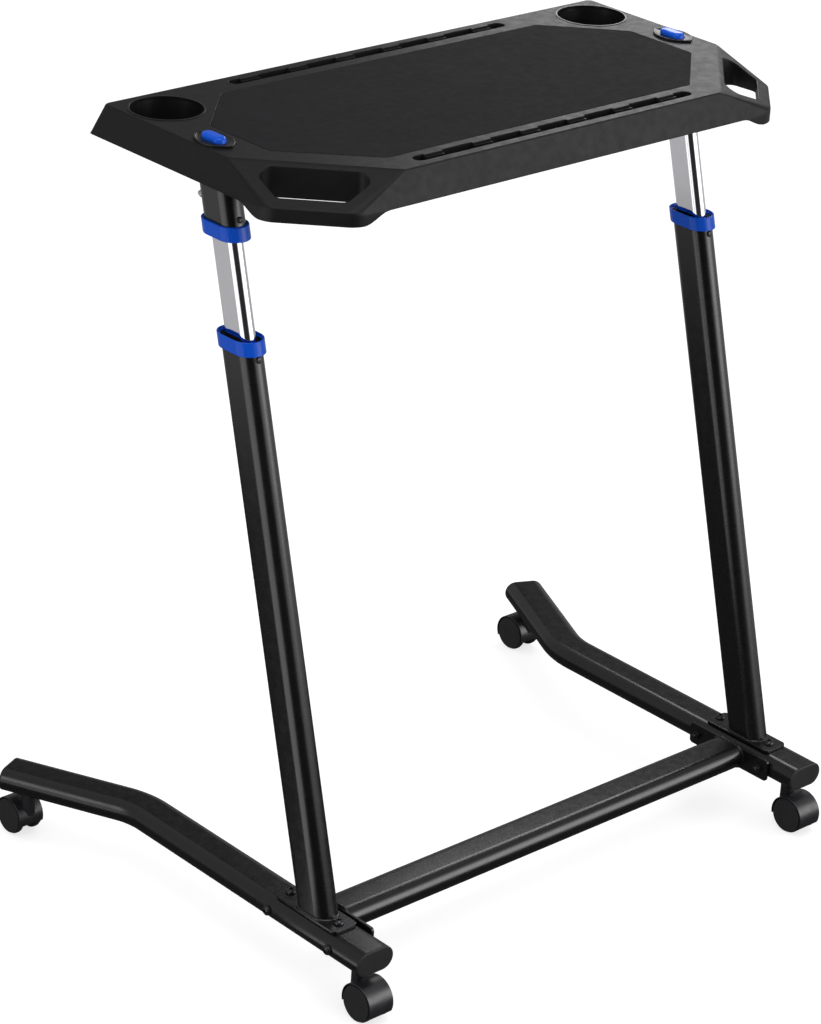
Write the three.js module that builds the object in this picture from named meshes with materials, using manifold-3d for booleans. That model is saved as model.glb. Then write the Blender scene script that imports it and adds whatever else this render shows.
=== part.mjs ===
// Bike trainer desk: a height-adjustable desk on two leaning telescopic legs and four twin-wheel casters.
// Millimetres, +Z up, the floor at z = 0. +Y is the cup holder side, -Y the side with the crossbar and handles.

import * as THREE from 'three';
import { mergeVertices } from 'three/addons/utils/BufferGeometryUtils.js';
import Module from 'manifold-3d';

const wasm = await Module();
wasm.setup();

// Fits
const gap = 0.3;
const overrun = 5;
const arcSteps = 6;
const roundSteps = 20;
const boltSteps = 10;

// Tabletop moulding
const deskHeight = 1003;
const topHalfWidth = 400;
const topBack = 211;
const topFront = 163;
const skirtDrop = 38;
const skirtSpreadSide = 12.5;
const skirtSpreadBack = 13;
const skirtSpreadFront = 14.5;
const creaseDepth = 101.1;
const handleRun = 67;
const handleDrop = 33;
const handleRimHeight = 17;
const topWall = 4;
const skirtWall = 3;
const topEdgeRound = 1.6;
const backCornerRadius = 7;
const creaseCornerRadius = 5;
const rimCornerRadius = 28;
const dipSideStart = -54;
const dipSideEnd = -91;
const dipFrontStartInset = 110;
const dipFrontEndInset = 73;

// Handle opening, in the plan view: distances out from the crease and half lengths along it
const gripNear = 7.5;
const gripWide = 20;
const gripFar = 51;
const gripNearHalf = 53;
const gripWideHalf = 66;
const gripFarHalf = 40;
const gripCornerRadius = 11;
const gripWall = 3;
const gripWallDrop = 41;

// Ribs under the top
const ribWall = 2.5;
const crossRibDrop = 20;
const longRibDrop = 17;
const ribInset = 88;
const ribFront = -118;
const ribBack = 172;
const crossRibs = 6;
const longRibs = 3;
const ribTail = 4;
const ribRootShare = 0.06;

// Device slots
const slotInset = 175;
const slotWidth = 17;
const slotDepth = 12;
const slotWall = 3;
const frontSlotY = -141.5;
const backSlotY = 191;
const ledgeLength = 29;
const ledgeEndRoom = 20.5;
const ledgeReach = 7.2;
const ledgeBelowTop = 2.5;
const tabReach = 3.2;
const ledges = 6;

// Pad let into the top
const padBack = 165.3;
const padSideInset = 55;
const padBackInset = 86;
const padFrontInset = 98;
const padSideBack = 79;
const padSideFront = -28;
const padFront = -120.6;
const padThickness = 2.2;
const padProud = 0.3;
const padCornerRadius = 14;

// Cup holders
const cupInset = 51;
const cupY = 156;
const cupRadius = 44;
const cupWall = 1.3;
const cupTaper = 2.4;
const cupDepth = 46;
const cupRimWidth = 1.1;
const cupRimHeight = 0.4;

// Underside cover
const coverThickness = 3;
const coverRise = 1;

// Legs: the tubes lean towards +Y and every section is measured on a level cut
const legInset = 24.5;
const legLean = THREE.MathUtils.degToRad(15);
const legTopY = 33.923;
const legTubeLength = 57;
const legTubeWidth = 33;
const legTubeWall = 2;
const tubeStep = 12;
const innerTubeWall = 1.5;
const innerTubeTopDrop = 41;
const innerTubeReach = 507;
const collarProud = 4;
const collarHeight = 17;
const collarLip = 3.5;
const collarLipWall = 1.6;
const collarShoulder = 2.7;
const upperCollarDrop = 97;
const collarSpacing = 130;
const spigotReach = 21.5;
const upperScrewRise = 15.6;
const lowerScrewDrop = 13.6;
const collarScrewHeadRadius = 4;
const collarScrewHeadHeight = 2.2;
const collarScrewRadius = 2;
const collarScrewReach = 3.9;
const sleeveBoltRise = 30;
const sleeveBoltRadius = 3;
const sleeveNutRadius = 6;
const sleeveNutHeight = 8;
const sleeveBoltTail = 6;
const sleeveBoltReach = 9;

// Bracket that holds a sleeve under the top
const bracketThickness = 4;
const bracketHalfWidth = 21.5;
const bracketHalfLength = 62;
const bracketSocketWall = 2.5;
const bracketSocketDrop = 27;
const bracketCornerRadius = 8;

// Release button, its bezel, rod and lock shoe
const buttonLength = 36;
const buttonWidth = 18;
const buttonRise = 7.5;
const buttonCrown = 2;
const buttonDraft = 1.2;
const buttonSkirtDrop = 6;
const buttonTravel = 6;
const bezelLength = 64;
const bezelWidth = 42;
const bezelHeight = 2.6;
const bezelSpigotWall = 2;
const bezelSpigotDrop = 12;
const fingerRecessRadius = 11;
const fingerRecessDepth = 1.8;
const rodRadius = 4;
const rodHeadRadius = 7;
const rodHeadHeight = 3;
const shoeHeight = 30;
const shoeTravel = 2;
const wedgeWidth = 8;
const wedgeThickness = 6;

// Feet: flat oval tubes that run straight and then splay out
const footWidth = 56;
const footHeight = 31;
const footWall = 2;
const footTop = 96.4;
const footLead = 105;
const footBend = 139;
const footSplay = THREE.MathUtils.degToRad(25);
const footSpread = 80.2;
const bendTangent = 25;
const bendSteps = 5;
const capThickness = 2.5;
const capPlug = 12;
const capEdge = 0.8;

// Base plate under each lower tube
const basePlateSideRoom = 5;
const basePlateEndRoom = 54;
const basePlateThickness = 4;
const basePlateShift = 5;
const basePlateRadius = 6;
const baseBoltFrontReach = 42;
const baseBoltBackReach = 47;

// Crossbar and its end flanges
const crossbarWall = 2;
const flangeThickness = 4;
const flangeLength = 140;
const flangeHeight = 30;
const flangeRadius = 5;
const flangeVentRadius = 8;
const crossBoltFrontReach = 55;
const crossBoltBackReach = 57;

// Frame bolts
const boltRadius = 3;
const boltHeadRadius = 6.5;
const boltHeadHeight = 5;
const boltHeadEdge = 1.6;
const socketRadius = 2.4;
const socketDepth = 2.6;
const nutRadius = 6.2;
const nutHeight = 5;
const baseBoltTail = 12;
const crossBoltTail = 8;

// Casters
const casterFrontInset = 28.7;
const casterBackY = 285.3;
const casterSpread = 68.2;
const casterTrail = 17.7;
const wheelRadius = 24.2;
const wheelHalfWidth = 19.2;
const wheelGap = 10;
const wheelRim = 2.2;
const wheelFace = 2.6;
const wheelEdge = 1.5;
const hubRadius = 5.5;
const hubGap = 6;
const axleRadius = 3;
const hoodGap = 0.5;
const hoodWall = 1.2;
const hoodHalfWidth = 18.7;
const hoodWeb = 5;
const hoodEndAngle = THREE.MathUtils.degToRad(-26);
const hoodStemAngle = THREE.MathUtils.degToRad(194);
const hoodSteps = 16;
const bossRadius = 9;
const bossTop = 60.6;
const bossDrop = 30;
const stemRadius = 4;
const stemNutRadius = 7.5;
const stemRise = 14;
const stemBottom = 36;

// Places that follow from the sizes: the tabletop's parts keep their distance from its edges
const spread = THREE.MathUtils.degToRad(45);
const creaseReach = (topHalfWidth + topFront) * Math.cos(spread) - creaseDepth;
const dipFrontStart = topHalfWidth - dipFrontStartInset;
const dipFrontEnd = topHalfWidth - dipFrontEndInset;
const ribHalfWidth = topHalfWidth - ribInset;
const slotHalfLength = topHalfWidth - slotInset;
const ledgePitch = (2 * slotHalfLength - ledgeLength - 2 * ledgeEndRoom) / (ledges - 1);
const padHalfWidth = topHalfWidth - padSideInset;
const padBackHalf = padHalfWidth - padBackInset;
const padFrontHalf = padHalfWidth - padFrontInset;
const cupX = topHalfWidth - cupInset;
const buttonTop = deskHeight + buttonRise;
const cornerShare = 0.5;

// The legs hang from the top, and the feet, the crossbar and the front casters keep to the legs
const leanSlope = Math.tan(legLean);
const legX = topHalfWidth - legInset;
const innerTubeLength = legTubeLength - tubeStep;
const innerTubeWidth = legTubeWidth - tubeStep;
const basePlateWidth = legTubeWidth + basePlateSideRoom;
const basePlateLength = legTubeLength + basePlateEndRoom;
const legFootY = legTopY - (deskHeight - footTop) * leanSlope;
const innerTubeTop = deskHeight - innerTubeTopDrop;
const innerTubeBottom = innerTubeTop - innerTubeReach;
const upperCollarZ = deskHeight - upperCollarDrop;
const lowerCollarZ = upperCollarZ - collarSpacing;
const upperScrewZ = upperCollarZ + upperScrewRise;
const lowerScrewZ = lowerCollarZ - lowerScrewDrop;
const sleeveBoltZ = upperCollarZ + sleeveBoltRise;
const footMid = footTop - footHeight / 2;
const footBottom = footTop - footHeight;
const footFront = legFootY - footLead;
const footEndX = legX + footSpread;
const basePlateY = legFootY + basePlateShift;
const crossbarY = basePlateY;
const baseBoltFrontY = basePlateY - baseBoltFrontReach;
const baseBoltBackY = basePlateY + baseBoltBackReach;
const crossBoltFrontY = crossbarY - crossBoltFrontReach;
const crossBoltBackY = crossbarY + crossBoltBackReach;
const casterFrontY = footFront + casterFrontInset;
const casterBackX = legX + casterSpread;

function finish(color, roughness, metalness) {
  return { color, roughness, metalness };
}

const finishes = {
  moulding: finish(0x2b2b2d, 0.55, 0),
  pad: finish(0x232326, 0.85, 0),
  linerPlastic: finish(0x0c0c0d, 0.35, 0),
  satinPlastic: finish(0x1d1c20, 0.4, 0),
  blue: finish(0x0a4fb5, 0.18, 0),
  powder: finish(0x1b1b1d, 0.4, 0.1),
  cap: finish(0x303032, 0.6, 0),
  chrome: finish(0xb8b8bd, 0.12, 1),
  zinc: finish(0x9a9a9e, 0.35, 1),
  blackScrew: finish(0x1a1a1c, 0.4, 0.6),
  wheel: finish(0x2a2a2b, 0.6, 0),
};

// Solids: a closed geometry becomes a solid to join and cut, and goes back again
function solid(shape) {
  const bare = shape.index ? shape.toNonIndexed() : shape.clone();
  bare.deleteAttribute('normal');
  bare.deleteAttribute('uv');
  const merged = mergeVertices(bare);
  const vertProperties = new Float32Array(merged.attributes.position.array);
  const triVerts = new Uint32Array(merged.index.array);
  return new wasm.Manifold(new wasm.Mesh({ numProp: 3, vertProperties, triVerts }));
}

function geometry(body) {
  const mesh = body.getMesh();
  const result = new THREE.BufferGeometry();
  result.setAttribute('position', new THREE.BufferAttribute(mesh.vertProperties, 3));
  result.setIndex(new THREE.BufferAttribute(mesh.triVerts, 1));
  result.computeVertexNormals();
  return result;
}

// Outlines in the XY plane
function ovalPoints(width, length) {
  const radius = width / 2;
  const straight = (length - width) / 2;
  const points = [];
  for (let end = 0; end < 2; end += 1) {
    const side = end === 0 ? 1 : -1;
    for (let step = 0; step <= arcSteps; step += 1) {
      const angle = Math.PI * (end + step / arcSteps);
      points.push(new THREE.Vector2(radius * Math.cos(angle), side * straight + radius * Math.sin(angle)));
    }
  }
  return points;
}

function circlePoints(radius, steps = roundSteps) {
  const points = [];
  for (let step = 0; step < steps; step += 1) {
    const angle = 2 * Math.PI * step / steps;
    points.push(new THREE.Vector2(radius * Math.cos(angle), radius * Math.sin(angle)));
  }
  return points;
}

// A polygon whose corners are rounded by arcs, corner by corner
function roundedPoints(corners, radii, steps = 4) {
  const points = [];
  corners.forEach((corner, index) => {
    const before = corners[(index + corners.length - 1) % corners.length];
    const after = corners[(index + 1) % corners.length];
    const into = corner.clone().sub(before).normalize();
    const out = after.clone().sub(corner).normalize();
    const turn = Math.atan2(into.cross(out), into.dot(out));
    const radius = Array.isArray(radii) ? radii[index] : radii;
    const reach = radius * Math.tan(Math.abs(turn) / 2);
    const start = corner.clone().addScaledVector(into, -reach);
    const inward = new THREE.Vector2(-into.y, into.x).multiplyScalar(Math.sign(turn) * radius);
    const centre = start.clone().add(inward);
    for (let step = 0; step <= steps; step += 1) {
      points.push(start.clone().rotateAround(centre, turn * step / steps));
    }
  });
  return points;
}

function rectangle(halfX, halfY) {
  return [
    new THREE.Vector2(halfX, -halfY),
    new THREE.Vector2(halfX, halfY),
    new THREE.Vector2(-halfX, halfY),
    new THREE.Vector2(-halfX, -halfY),
  ];
}

// Prisms: an outline carried from one level to another, upright or along the lean of the legs
function prism(points, bottom, top) {
  const outline = new THREE.Shape(points);
  const body = new THREE.ExtrudeGeometry(outline, { depth: top - bottom, bevelEnabled: false });
  return body.translate(0, 0, bottom);
}

function leanTo(body, side) {
  const shear = new THREE.Matrix4().makeShear(0, 0, 0, 0, 0, leanSlope);
  return body.translate(0, 0, -footTop).applyMatrix4(shear).translate(side * legX, legFootY, footTop);
}

function leanPrism(points, bottom, top, side) {
  return solid(leanTo(prism(points, bottom, top), side));
}

function axisY(level) {
  return legFootY + (level - footTop) * leanSlope;
}

function levelPrism(points, bottom, top, x = 0, y = 0) {
  return solid(prism(points, bottom, top).translate(x, y, 0));
}

// A loft joins rings that all have the same number of points
function loft(rings) {
  const positions = [];
  const indices = [];
  const count = rings[0].length;
  rings.forEach((ring) => ring.forEach((point) => positions.push(point.x, point.y, point.z)));
  for (let ring = 0; ring + 1 < rings.length; ring += 1) {
    for (let index = 0; index < count; index += 1) {
      const next = (index + 1) % count;
      const low = ring * count;
      const high = low + count;
      indices.push(low + index, low + next, high + next);
      indices.push(low + index, high + next, high + index);
    }
  }
  const capOf = (ring) => THREE.ShapeUtils.triangulateShape(ring.map((p) => new THREE.Vector2(p.u, p.v)), []);
  const last = (rings.length - 1) * count;
  capOf(rings[0]).forEach(([a, b, c]) => indices.push(c, b, a));
  capOf(rings[rings.length - 1]).forEach(([a, b, c]) => indices.push(last + a, last + b, last + c));
  const result = new THREE.BufferGeometry();
  result.setAttribute('position', new THREE.Float32BufferAttribute(positions, 3));
  result.setIndex(indices);
  return result;
}

function levelRing(points, level) {
  return points.map((p) => ({ x: p.x, y: p.y, z: level, u: p.x, v: p.y }));
}

// A round body about the Z axis from (radius, height) pairs, starting and ending on the axis
function turned(profile, steps = boltSteps) {
  const points = profile.map(([radius, height]) => new THREE.Vector2(radius, height));
  return new THREE.LatheGeometry(points, steps).rotateX(Math.PI / 2);
}

const group = new THREE.Group();

function node(name, body, look) {
  const shape = body.isBufferGeometry ? body : geometry(body);
  if (!shape.attributes.normal) {
    shape.computeVertexNormals();
  }
  const mesh = new THREE.Mesh(shape, new THREE.MeshStandardMaterial(look));
  mesh.name = name;
  group.add(mesh);
  return mesh;
}

// Tabletop outline at a level: straight back and sides, and two front corners cut at 45 degrees
function deskCorners(level, inset, cutInset) {
  const share = Math.min((deskHeight - level) / skirtDrop, 1);
  const cutShare = Math.min((deskHeight - level) / handleDrop, 1);
  const x = topHalfWidth + skirtSpreadSide * share - inset;
  const back = topBack + skirtSpreadBack * share - inset;
  const front = topFront + skirtSpreadFront * share - inset;
  const cut = (creaseReach + handleRun * cutShare - cutInset) / Math.cos(spread);
  return [
    new THREE.Vector2(x, x - cut),
    new THREE.Vector2(x, back),
    new THREE.Vector2(-x, back),
    new THREE.Vector2(-x, x - cut),
    new THREE.Vector2(front - cut, -front),
    new THREE.Vector2(cut - front, -front),
  ];
}

function deskRing(level, inset, cutInset) {
  const cutShare = Math.min((deskHeight - level) / handleDrop, 1);
  const cutRadius = creaseCornerRadius + (rimCornerRadius - creaseCornerRadius) * cutShare;
  const radii = [cutRadius, backCornerRadius, backCornerRadius, cutRadius, cutRadius, cutRadius];
  return levelRing(roundedPoints(deskCorners(level, inset, cutInset), radii), level);
}

const skirtBottom = deskHeight - skirtDrop;
const rimTop = deskHeight - handleDrop;
const rimBottom = rimTop - handleRimHeight;
const topUnder = deskHeight - topWall;
const facetInset = skirtWall / Math.sin(Math.atan(handleDrop / handleRun));

function deskOuter(lowered) {
  return solid(loft([
    deskRing(rimBottom, 0, 0),
    deskRing(skirtBottom, 0, 0),
    deskRing(rimTop, 0, 0),
    deskRing(deskHeight - topEdgeRound, 0, 0),
    deskRing(deskHeight, topEdgeRound, topEdgeRound),
  ]).translate(0, 0, -lowered));
}

function deskInner() {
  return solid(loft([
    deskRing(rimBottom - overrun, skirtWall, skirtWall),
    deskRing(skirtBottom, skirtWall, facetInset),
    deskRing(rimTop, skirtWall, facetInset),
    deskRing(topUnder, skirtWall, facetInset),
  ]));
}

// The skirt is cut level at its foot, and dips in an S towards each handle
function dipPoints(start, end, far) {
  const points = [];
  const steps = 8;
  for (let step = 0; step <= steps; step += 1) {
    const share = step / steps;
    const drop = (skirtBottom - rimBottom) * (1 - Math.cos(Math.PI * share)) / 2;
    points.push(new THREE.Vector2(start + (end - start) * share, skirtBottom - drop));
  }
  points.push(new THREE.Vector2(end, rimBottom - overrun));
  points.push(new THREE.Vector2(far, rimBottom - overrun));
  points.push(new THREE.Vector2(far, skirtBottom));
  return points;
}

function skirtCuts() {
  const reach = topHalfWidth + skirtSpreadSide + overrun;
  const sideShape = new THREE.Shape(dipPoints(dipSideStart, dipSideEnd, topBack + skirtSpreadBack + overrun));
  const side = new THREE.ExtrudeGeometry(sideShape, { depth: 2 * reach, bevelEnabled: false });
  side.rotateX(Math.PI / 2).rotateZ(Math.PI / 2).translate(-reach, 0, 0);
  const depth = topFront + skirtSpreadFront + topBack;
  let cuts = solid(side);
  for (const hand of [1, -1]) {
    const frontShape = new THREE.Shape(dipPoints(hand * dipFrontStart, hand * dipFrontEnd, -hand * overrun));
    const front = new THREE.ExtrudeGeometry(frontShape, { depth, bevelEnabled: false });
    front.rotateX(Math.PI / 2).translate(0, topBack, 0);
    cuts = cuts.add(solid(front));
  }
  return cuts;
}

// Handle opening outline, grown by a wall, turned to lie along the crease
function gripPoints(grow, side) {
  const middle = (topHalfWidth - topFront) * Math.cos(spread);
  const along = (distance, lengthways) => {
    const reach = creaseReach + distance;
    const place = middle + lengthways;
    const x = (reach + place) * Math.cos(spread);
    const y = (place - reach) * Math.sin(spread);
    return new THREE.Vector2(side * x, y);
  };
  const corners = [
    along(gripNear - grow, -gripNearHalf - grow * cornerShare),
    along(gripNear - grow, gripNearHalf + grow * cornerShare),
    along(gripWide, gripWideHalf + grow),
    along(gripFar + grow, gripFarHalf + grow * cornerShare),
    along(gripFar + grow, -gripFarHalf - grow * cornerShare),
    along(gripWide, -gripWideHalf - grow),
  ];
  return roundedPoints(side > 0 ? corners.reverse() : corners, gripCornerRadius + grow);
}

// Ribs under the top: deep ones across it, and shallower ones along it that run on past the last cross rib
function ribs() {
  const middle = (ribBack + ribFront) / 2;
  const rib = (halfX, halfY, drop, x, y) => (
    levelPrism(rectangle(halfX, halfY), topUnder - drop, topUnder + drop * ribRootShare, x, y)
  );
  const slabs = [];
  for (let index = 0; index < crossRibs; index += 1) {
    const x = -ribHalfWidth + 2 * ribHalfWidth * index / (crossRibs - 1);
    slabs.push(rib(ribWall / 2, (ribBack - ribFront) / 2, crossRibDrop, x, middle));
  }
  for (let index = 0; index < longRibs; index += 1) {
    const y = ribFront + (ribBack - ribFront) * (index + 1) / (longRibs + 1);
    slabs.push(rib(ribHalfWidth + ribTail, ribWall / 2, longRibDrop, 0, y));
  }
  return slabs;
}

function slotSolid(y) {
  const channel = rectangle(slotHalfLength + slotWall, slotWidth / 2 + slotWall);
  return levelPrism(channel, deskHeight - slotDepth - slotWall, topUnder + topWall / 2, 0, y);
}

function slotCut(y) {
  const outline = ovalPoints(slotWidth, 2 * slotHalfLength).map((p) => new THREE.Vector2(p.y, -p.x));
  let cut = levelPrism(outline, deskHeight - slotDepth, deskHeight + overrun, 0, y);
  const under = deskHeight - slotDepth - overrun;
  const farY = y + slotWidth / 2;
  for (let index = 0; index < ledges; index += 1) {
    const x = (index - (ledges - 1) / 2) * ledgePitch;
    const ledge = levelPrism(rectangle(ledgeLength / 2, ledgeReach), under, deskHeight - ledgeBelowTop, x, farY);
    const tab = levelPrism(rectangle(ledgeLength / 2, tabReach), under, deskHeight + 2 * overrun, x, farY);
    cut = cut.subtract(ledge).subtract(tab);
  }
  return cut;
}

function padCorners(grow) {
  return [
    new THREE.Vector2(padFrontHalf + grow * cornerShare, padFront - grow),
    new THREE.Vector2(padHalfWidth + grow, padSideFront - grow * cornerShare),
    new THREE.Vector2(padHalfWidth + grow, padSideBack + grow * cornerShare),
    new THREE.Vector2(padBackHalf + grow * cornerShare, padBack + grow),
    new THREE.Vector2(-padBackHalf - grow * cornerShare, padBack + grow),
    new THREE.Vector2(-padHalfWidth - grow, padSideBack + grow * cornerShare),
    new THREE.Vector2(-padHalfWidth - grow, padSideFront - grow * cornerShare),
    new THREE.Vector2(-padFrontHalf - grow * cornerShare, padFront - grow),
  ];
}

const bezelOpening = buttonWidth + 2 * gap;
const bezelOpeningLength = buttonLength + 2 * gap;
const spigotWidth = bezelOpening + 2 * bezelSpigotWall;
const spigotLength = bezelOpeningLength + 2 * bezelSpigotWall;

function tabletop() {
  const wallLimit = deskOuter(skirtWall / 2);
  let body = deskOuter(0).subtract(deskInner());
  ribs().forEach((rib) => {
    body = body.add(rib);
  });
  for (const y of [frontSlotY, backSlotY]) {
    body = body.add(slotSolid(y)).subtract(slotCut(y));
  }
  const wallBottom = deskHeight - gripWallDrop;
  for (const side of [1, -1]) {
    const wall = levelPrism(gripPoints(gripWall, side), wallBottom, deskHeight + overrun);
    body = body.add(wall.intersect(wallLimit));
    body = body.subtract(levelPrism(gripPoints(0, side), rimBottom - overrun, deskHeight + overrun));
    const cup = circlePoints(cupRadius + cupWall + gap);
    body = body.subtract(levelPrism(cup, skirtBottom, deskHeight + overrun, side * cupX, cupY));
    const seat = ovalPoints(spigotWidth + 2 * gap, spigotLength + 2 * gap);
    body = body.subtract(leanPrism(seat, topUnder - overrun, deskHeight + overrun, side));
  }
  const recess = roundedPoints(padCorners(gap), padCornerRadius + gap);
  body = body.subtract(levelPrism(recess, deskHeight - padThickness + padProud - gap, deskHeight + overrun));
  return body.subtract(skirtCuts());
}

node('tabletop', tabletop(), finishes.moulding);

const padBottom = deskHeight + padProud - padThickness;
node('non_slip_pad', levelPrism(roundedPoints(padCorners(0), padCornerRadius), padBottom,
  deskHeight + padProud), finishes.pad);

// Cover screwed under the top, open round the handles, the legs and the cup holders
const coverBottom = skirtBottom + coverRise;
const coverTop = coverBottom + coverThickness;

function undersideCover() {
  const inset = skirtWall + gap;
  const edge = deskCorners(coverTop, inset, 0);
  const cut = (creaseReach + gripNear - gripWall - gap) / Math.cos(spread);
  edge[0].y = edge[0].x - cut;
  edge[3].y = edge[0].x - cut;
  edge[4].x = -edge[4].y - cut;
  edge[5].x = cut + edge[5].y;
  let body = levelPrism(roundedPoints(edge, backCornerRadius), coverBottom, coverTop);
  for (const side of [1, -1]) {
    const sleeve = ovalPoints(legTubeWidth + 2 * gap, legTubeLength + 2 * gap);
    body = body.subtract(leanPrism(sleeve, coverBottom - overrun, coverTop + overrun, side));
    const cup = circlePoints(cupRadius + cupWall + gap);
    body = body.subtract(levelPrism(cup, coverBottom - overrun, coverTop + overrun, side * cupX, cupY));
  }
  return body;
}

node('underside_cover', undersideCover(), finishes.moulding);

// Cup holder liner: a tapered cup that hangs by its rim in the top
function cupLiner(side) {
  const rimTop = deskHeight + gap + cupRimHeight;
  const floor = deskHeight - cupDepth;
  const outerFoot = cupRadius + cupWall - cupTaper;
  const profile = [
    [0, floor - cupWall],
    [outerFoot - cupTaper, floor - cupWall],
    [outerFoot, floor - cupWall + cupTaper],
    [cupRadius + cupWall, deskHeight + gap],
    [cupRadius + cupWall + cupRimWidth, deskHeight + gap],
    [cupRadius + cupWall + cupRimWidth, rimTop],
    [cupRadius, rimTop],
    [outerFoot - cupWall, floor + cupTaper],
    [outerFoot - cupWall - cupTaper, floor],
    [0, floor],
  ];
  return turned(profile, roundSteps).translate(side * cupX, cupY, 0);
}

// Bezel round a release button: a pointed oval plate with a spigot through the top
function bezel(side) {
  const bottom = deskHeight + gap;
  const top = bottom + bezelHeight;
  const halfLength = bezelLength / 2;
  const halfWidth = bezelWidth / 2;
  const sag = (halfLength * halfLength - halfWidth * halfWidth) / (2 * halfWidth);
  const radius = halfWidth + sag;
  const points = [];
  for (const hand of [1, -1]) {
    const sweep = Math.asin(halfLength / radius);
    for (let step = 0; step < arcSteps * 2; step += 1) {
      const angle = sweep * (step / arcSteps - 1);
      points.push(new THREE.Vector2(hand * (radius * Math.cos(angle) - sag), hand * radius * Math.sin(angle)));
    }
  }
  const centreY = axisY(deskHeight);
  let body = levelPrism(points, bottom, top, side * legX, centreY);
  const spigot = ovalPoints(spigotWidth, spigotLength);
  body = body.add(leanPrism(spigot, deskHeight - bezelSpigotDrop, bottom + bezelHeight / 2, side));
  const recess = new THREE.SphereGeometry(1, roundSteps, arcSteps * 2);
  recess.scale(fingerRecessRadius, halfLength - capThickness, fingerRecessDepth);
  body = body.subtract(solid(recess.translate(side * legX, centreY, top)));
  const opening = ovalPoints(bezelOpening, bezelOpeningLength);
  return body.subtract(leanPrism(opening, deskHeight - bezelSpigotDrop - overrun, top + overrun, side));
}

// Button: an oblong cap that travels along the lean, drawn in towards its crown
function button(side) {
  const bottom = deskHeight - buttonSkirtDrop;
  const rings = [[bottom, 0], [buttonTop - 2 * buttonCrown, 0], [buttonTop - buttonCrown, buttonDraft / 2],
    [buttonTop, buttonDraft * 2]];
  const body = loft(rings.map(([level, inset]) => (
    levelRing(ovalPoints(buttonWidth - 2 * inset, buttonLength - 2 * inset), level)
  )));
  return solid(leanTo(body, side));
}

const shoeTop = innerTubeBottom - gap;
const shoeBottom = shoeTop - shoeHeight;
const wedgeSlope = shoeTravel / buttonTravel;

// The wedge at the rod's foot leans more than the rod, so that pressing it draws the shoe back
function wedgePrism(width, thickness, bottom, top, side) {
  const shear = new THREE.Matrix4().makeShear(0, 0, 0, 0, 0, wedgeSlope);
  const bar = prism(rectangle(width / 2, thickness / 2), bottom - shoeTop, top - shoeTop);
  return solid(leanTo(bar.applyMatrix4(shear).translate(0, 0, shoeTop), side));
}

function releaseRod(side) {
  const top = deskHeight - buttonSkirtDrop - gap;
  const rod = leanPrism(circlePoints(rodRadius, boltSteps), shoeTop - gap, top, side);
  const head = leanPrism(circlePoints(rodHeadRadius, boltSteps), top - rodHeadHeight, top, side);
  const wedge = wedgePrism(wedgeWidth, wedgeThickness, shoeBottom - buttonTravel, shoeTop + buttonTravel, side);
  return rod.add(head).add(wedge);
}

function lockShoe(side) {
  const width = legTubeWidth - 2 * legTubeWall - 2 * gap;
  const length = legTubeLength - 2 * legTubeWall - 2 * gap;
  const full = leanPrism(ovalPoints(width, length), shoeBottom, shoeTop, side);
  const drawn = full.translate(0, -shoeTravel - gap, 0);
  const slot = wedgePrism(wedgeWidth + 2 * gap, wedgeThickness + 2 * gap, shoeBottom - overrun,
    shoeTop + overrun, side);
  const rodRoom = leanPrism(ovalPoints(2 * rodRadius + 2 * gap, 2 * rodRadius + 4 * gap + 2 * shoeTravel),
    shoeTop - buttonTravel - 2 * gap, shoeTop + overrun, side);
  return full.intersect(drawn).subtract(slot).subtract(rodRoom);
}

// Bracket under the top with a socket for the sleeve
const bracketTop = topUnder - gap;
const bracketBottom = bracketTop - bracketThickness;

function legBracket(side) {
  const middle = axisY(bracketTop);
  const plate = roundedPoints(rectangle(bracketHalfWidth, bracketHalfLength), bracketCornerRadius);
  let body = levelPrism(plate, bracketBottom, bracketTop, side * legX, middle);
  const socket = ovalPoints(legTubeWidth + 2 * (gap + bracketSocketWall),
    legTubeLength + 2 * (gap + bracketSocketWall));
  body = body.add(leanPrism(socket, bracketTop - bracketSocketDrop, bracketTop, side));
  const pocket = ovalPoints(legTubeWidth + 2 * gap, legTubeLength + 2 * gap);
  body = body.subtract(leanPrism(pocket, bracketTop - bracketSocketDrop - overrun, bracketBottom, side));
  const room = ovalPoints(spigotWidth + 2 * gap, spigotLength + 2 * gap);
  return body.subtract(leanPrism(room, bracketBottom - overrun, bracketTop + overrun, side));
}

function ovalTube(width, length, wall, bottom, top, side) {
  const outer = leanPrism(ovalPoints(width, length), bottom, top, side);
  const bore = ovalPoints(width - 2 * wall, length - 2 * wall);
  return outer.subtract(leanPrism(bore, bottom - overrun, top + overrun, side));
}

// A hole square to the leg, through its front wall (hand -1) or its back wall (hand 1)
function acrossLeg(body, level, hand, side) {
  body.rotateX(-hand * Math.PI / 2).rotateX(-legLean);
  const surface = axisY(level) + hand * legTubeLength / 2;
  return solid(body.translate(side * legX, surface, level));
}

function crossHole(radius, level, hand, side) {
  const depth = legTubeLength / 2;
  const pin = turned([[0, -depth], [radius, -depth], [radius, overrun], [0, overrun]]);
  return acrossLeg(pin, level, hand, side);
}

const sleeveBottom = upperCollarZ - collarHeight / 2 + collarLip + collarShoulder + gap;
const lowerTubeTop = lowerCollarZ + collarHeight / 2 - collarLip - collarShoulder - gap;

function upperSleeve(side) {
  const body = ovalTube(legTubeWidth, legTubeLength, legTubeWall, sleeveBottom, bracketBottom - gap, side);
  return body
    .subtract(crossHole(collarScrewRadius + gap, upperScrewZ, -1, side))
    .subtract(crossHole(sleeveBoltRadius + gap, sleeveBoltZ, 1, side));
}

function innerTube(side) {
  const body = ovalTube(innerTubeWidth, innerTubeLength, innerTubeWall, innerTubeBottom, innerTubeTop, side);
  return body.subtract(crossHole(sleeveBoltRadius + gap, sleeveBoltZ, 1, side));
}

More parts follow.
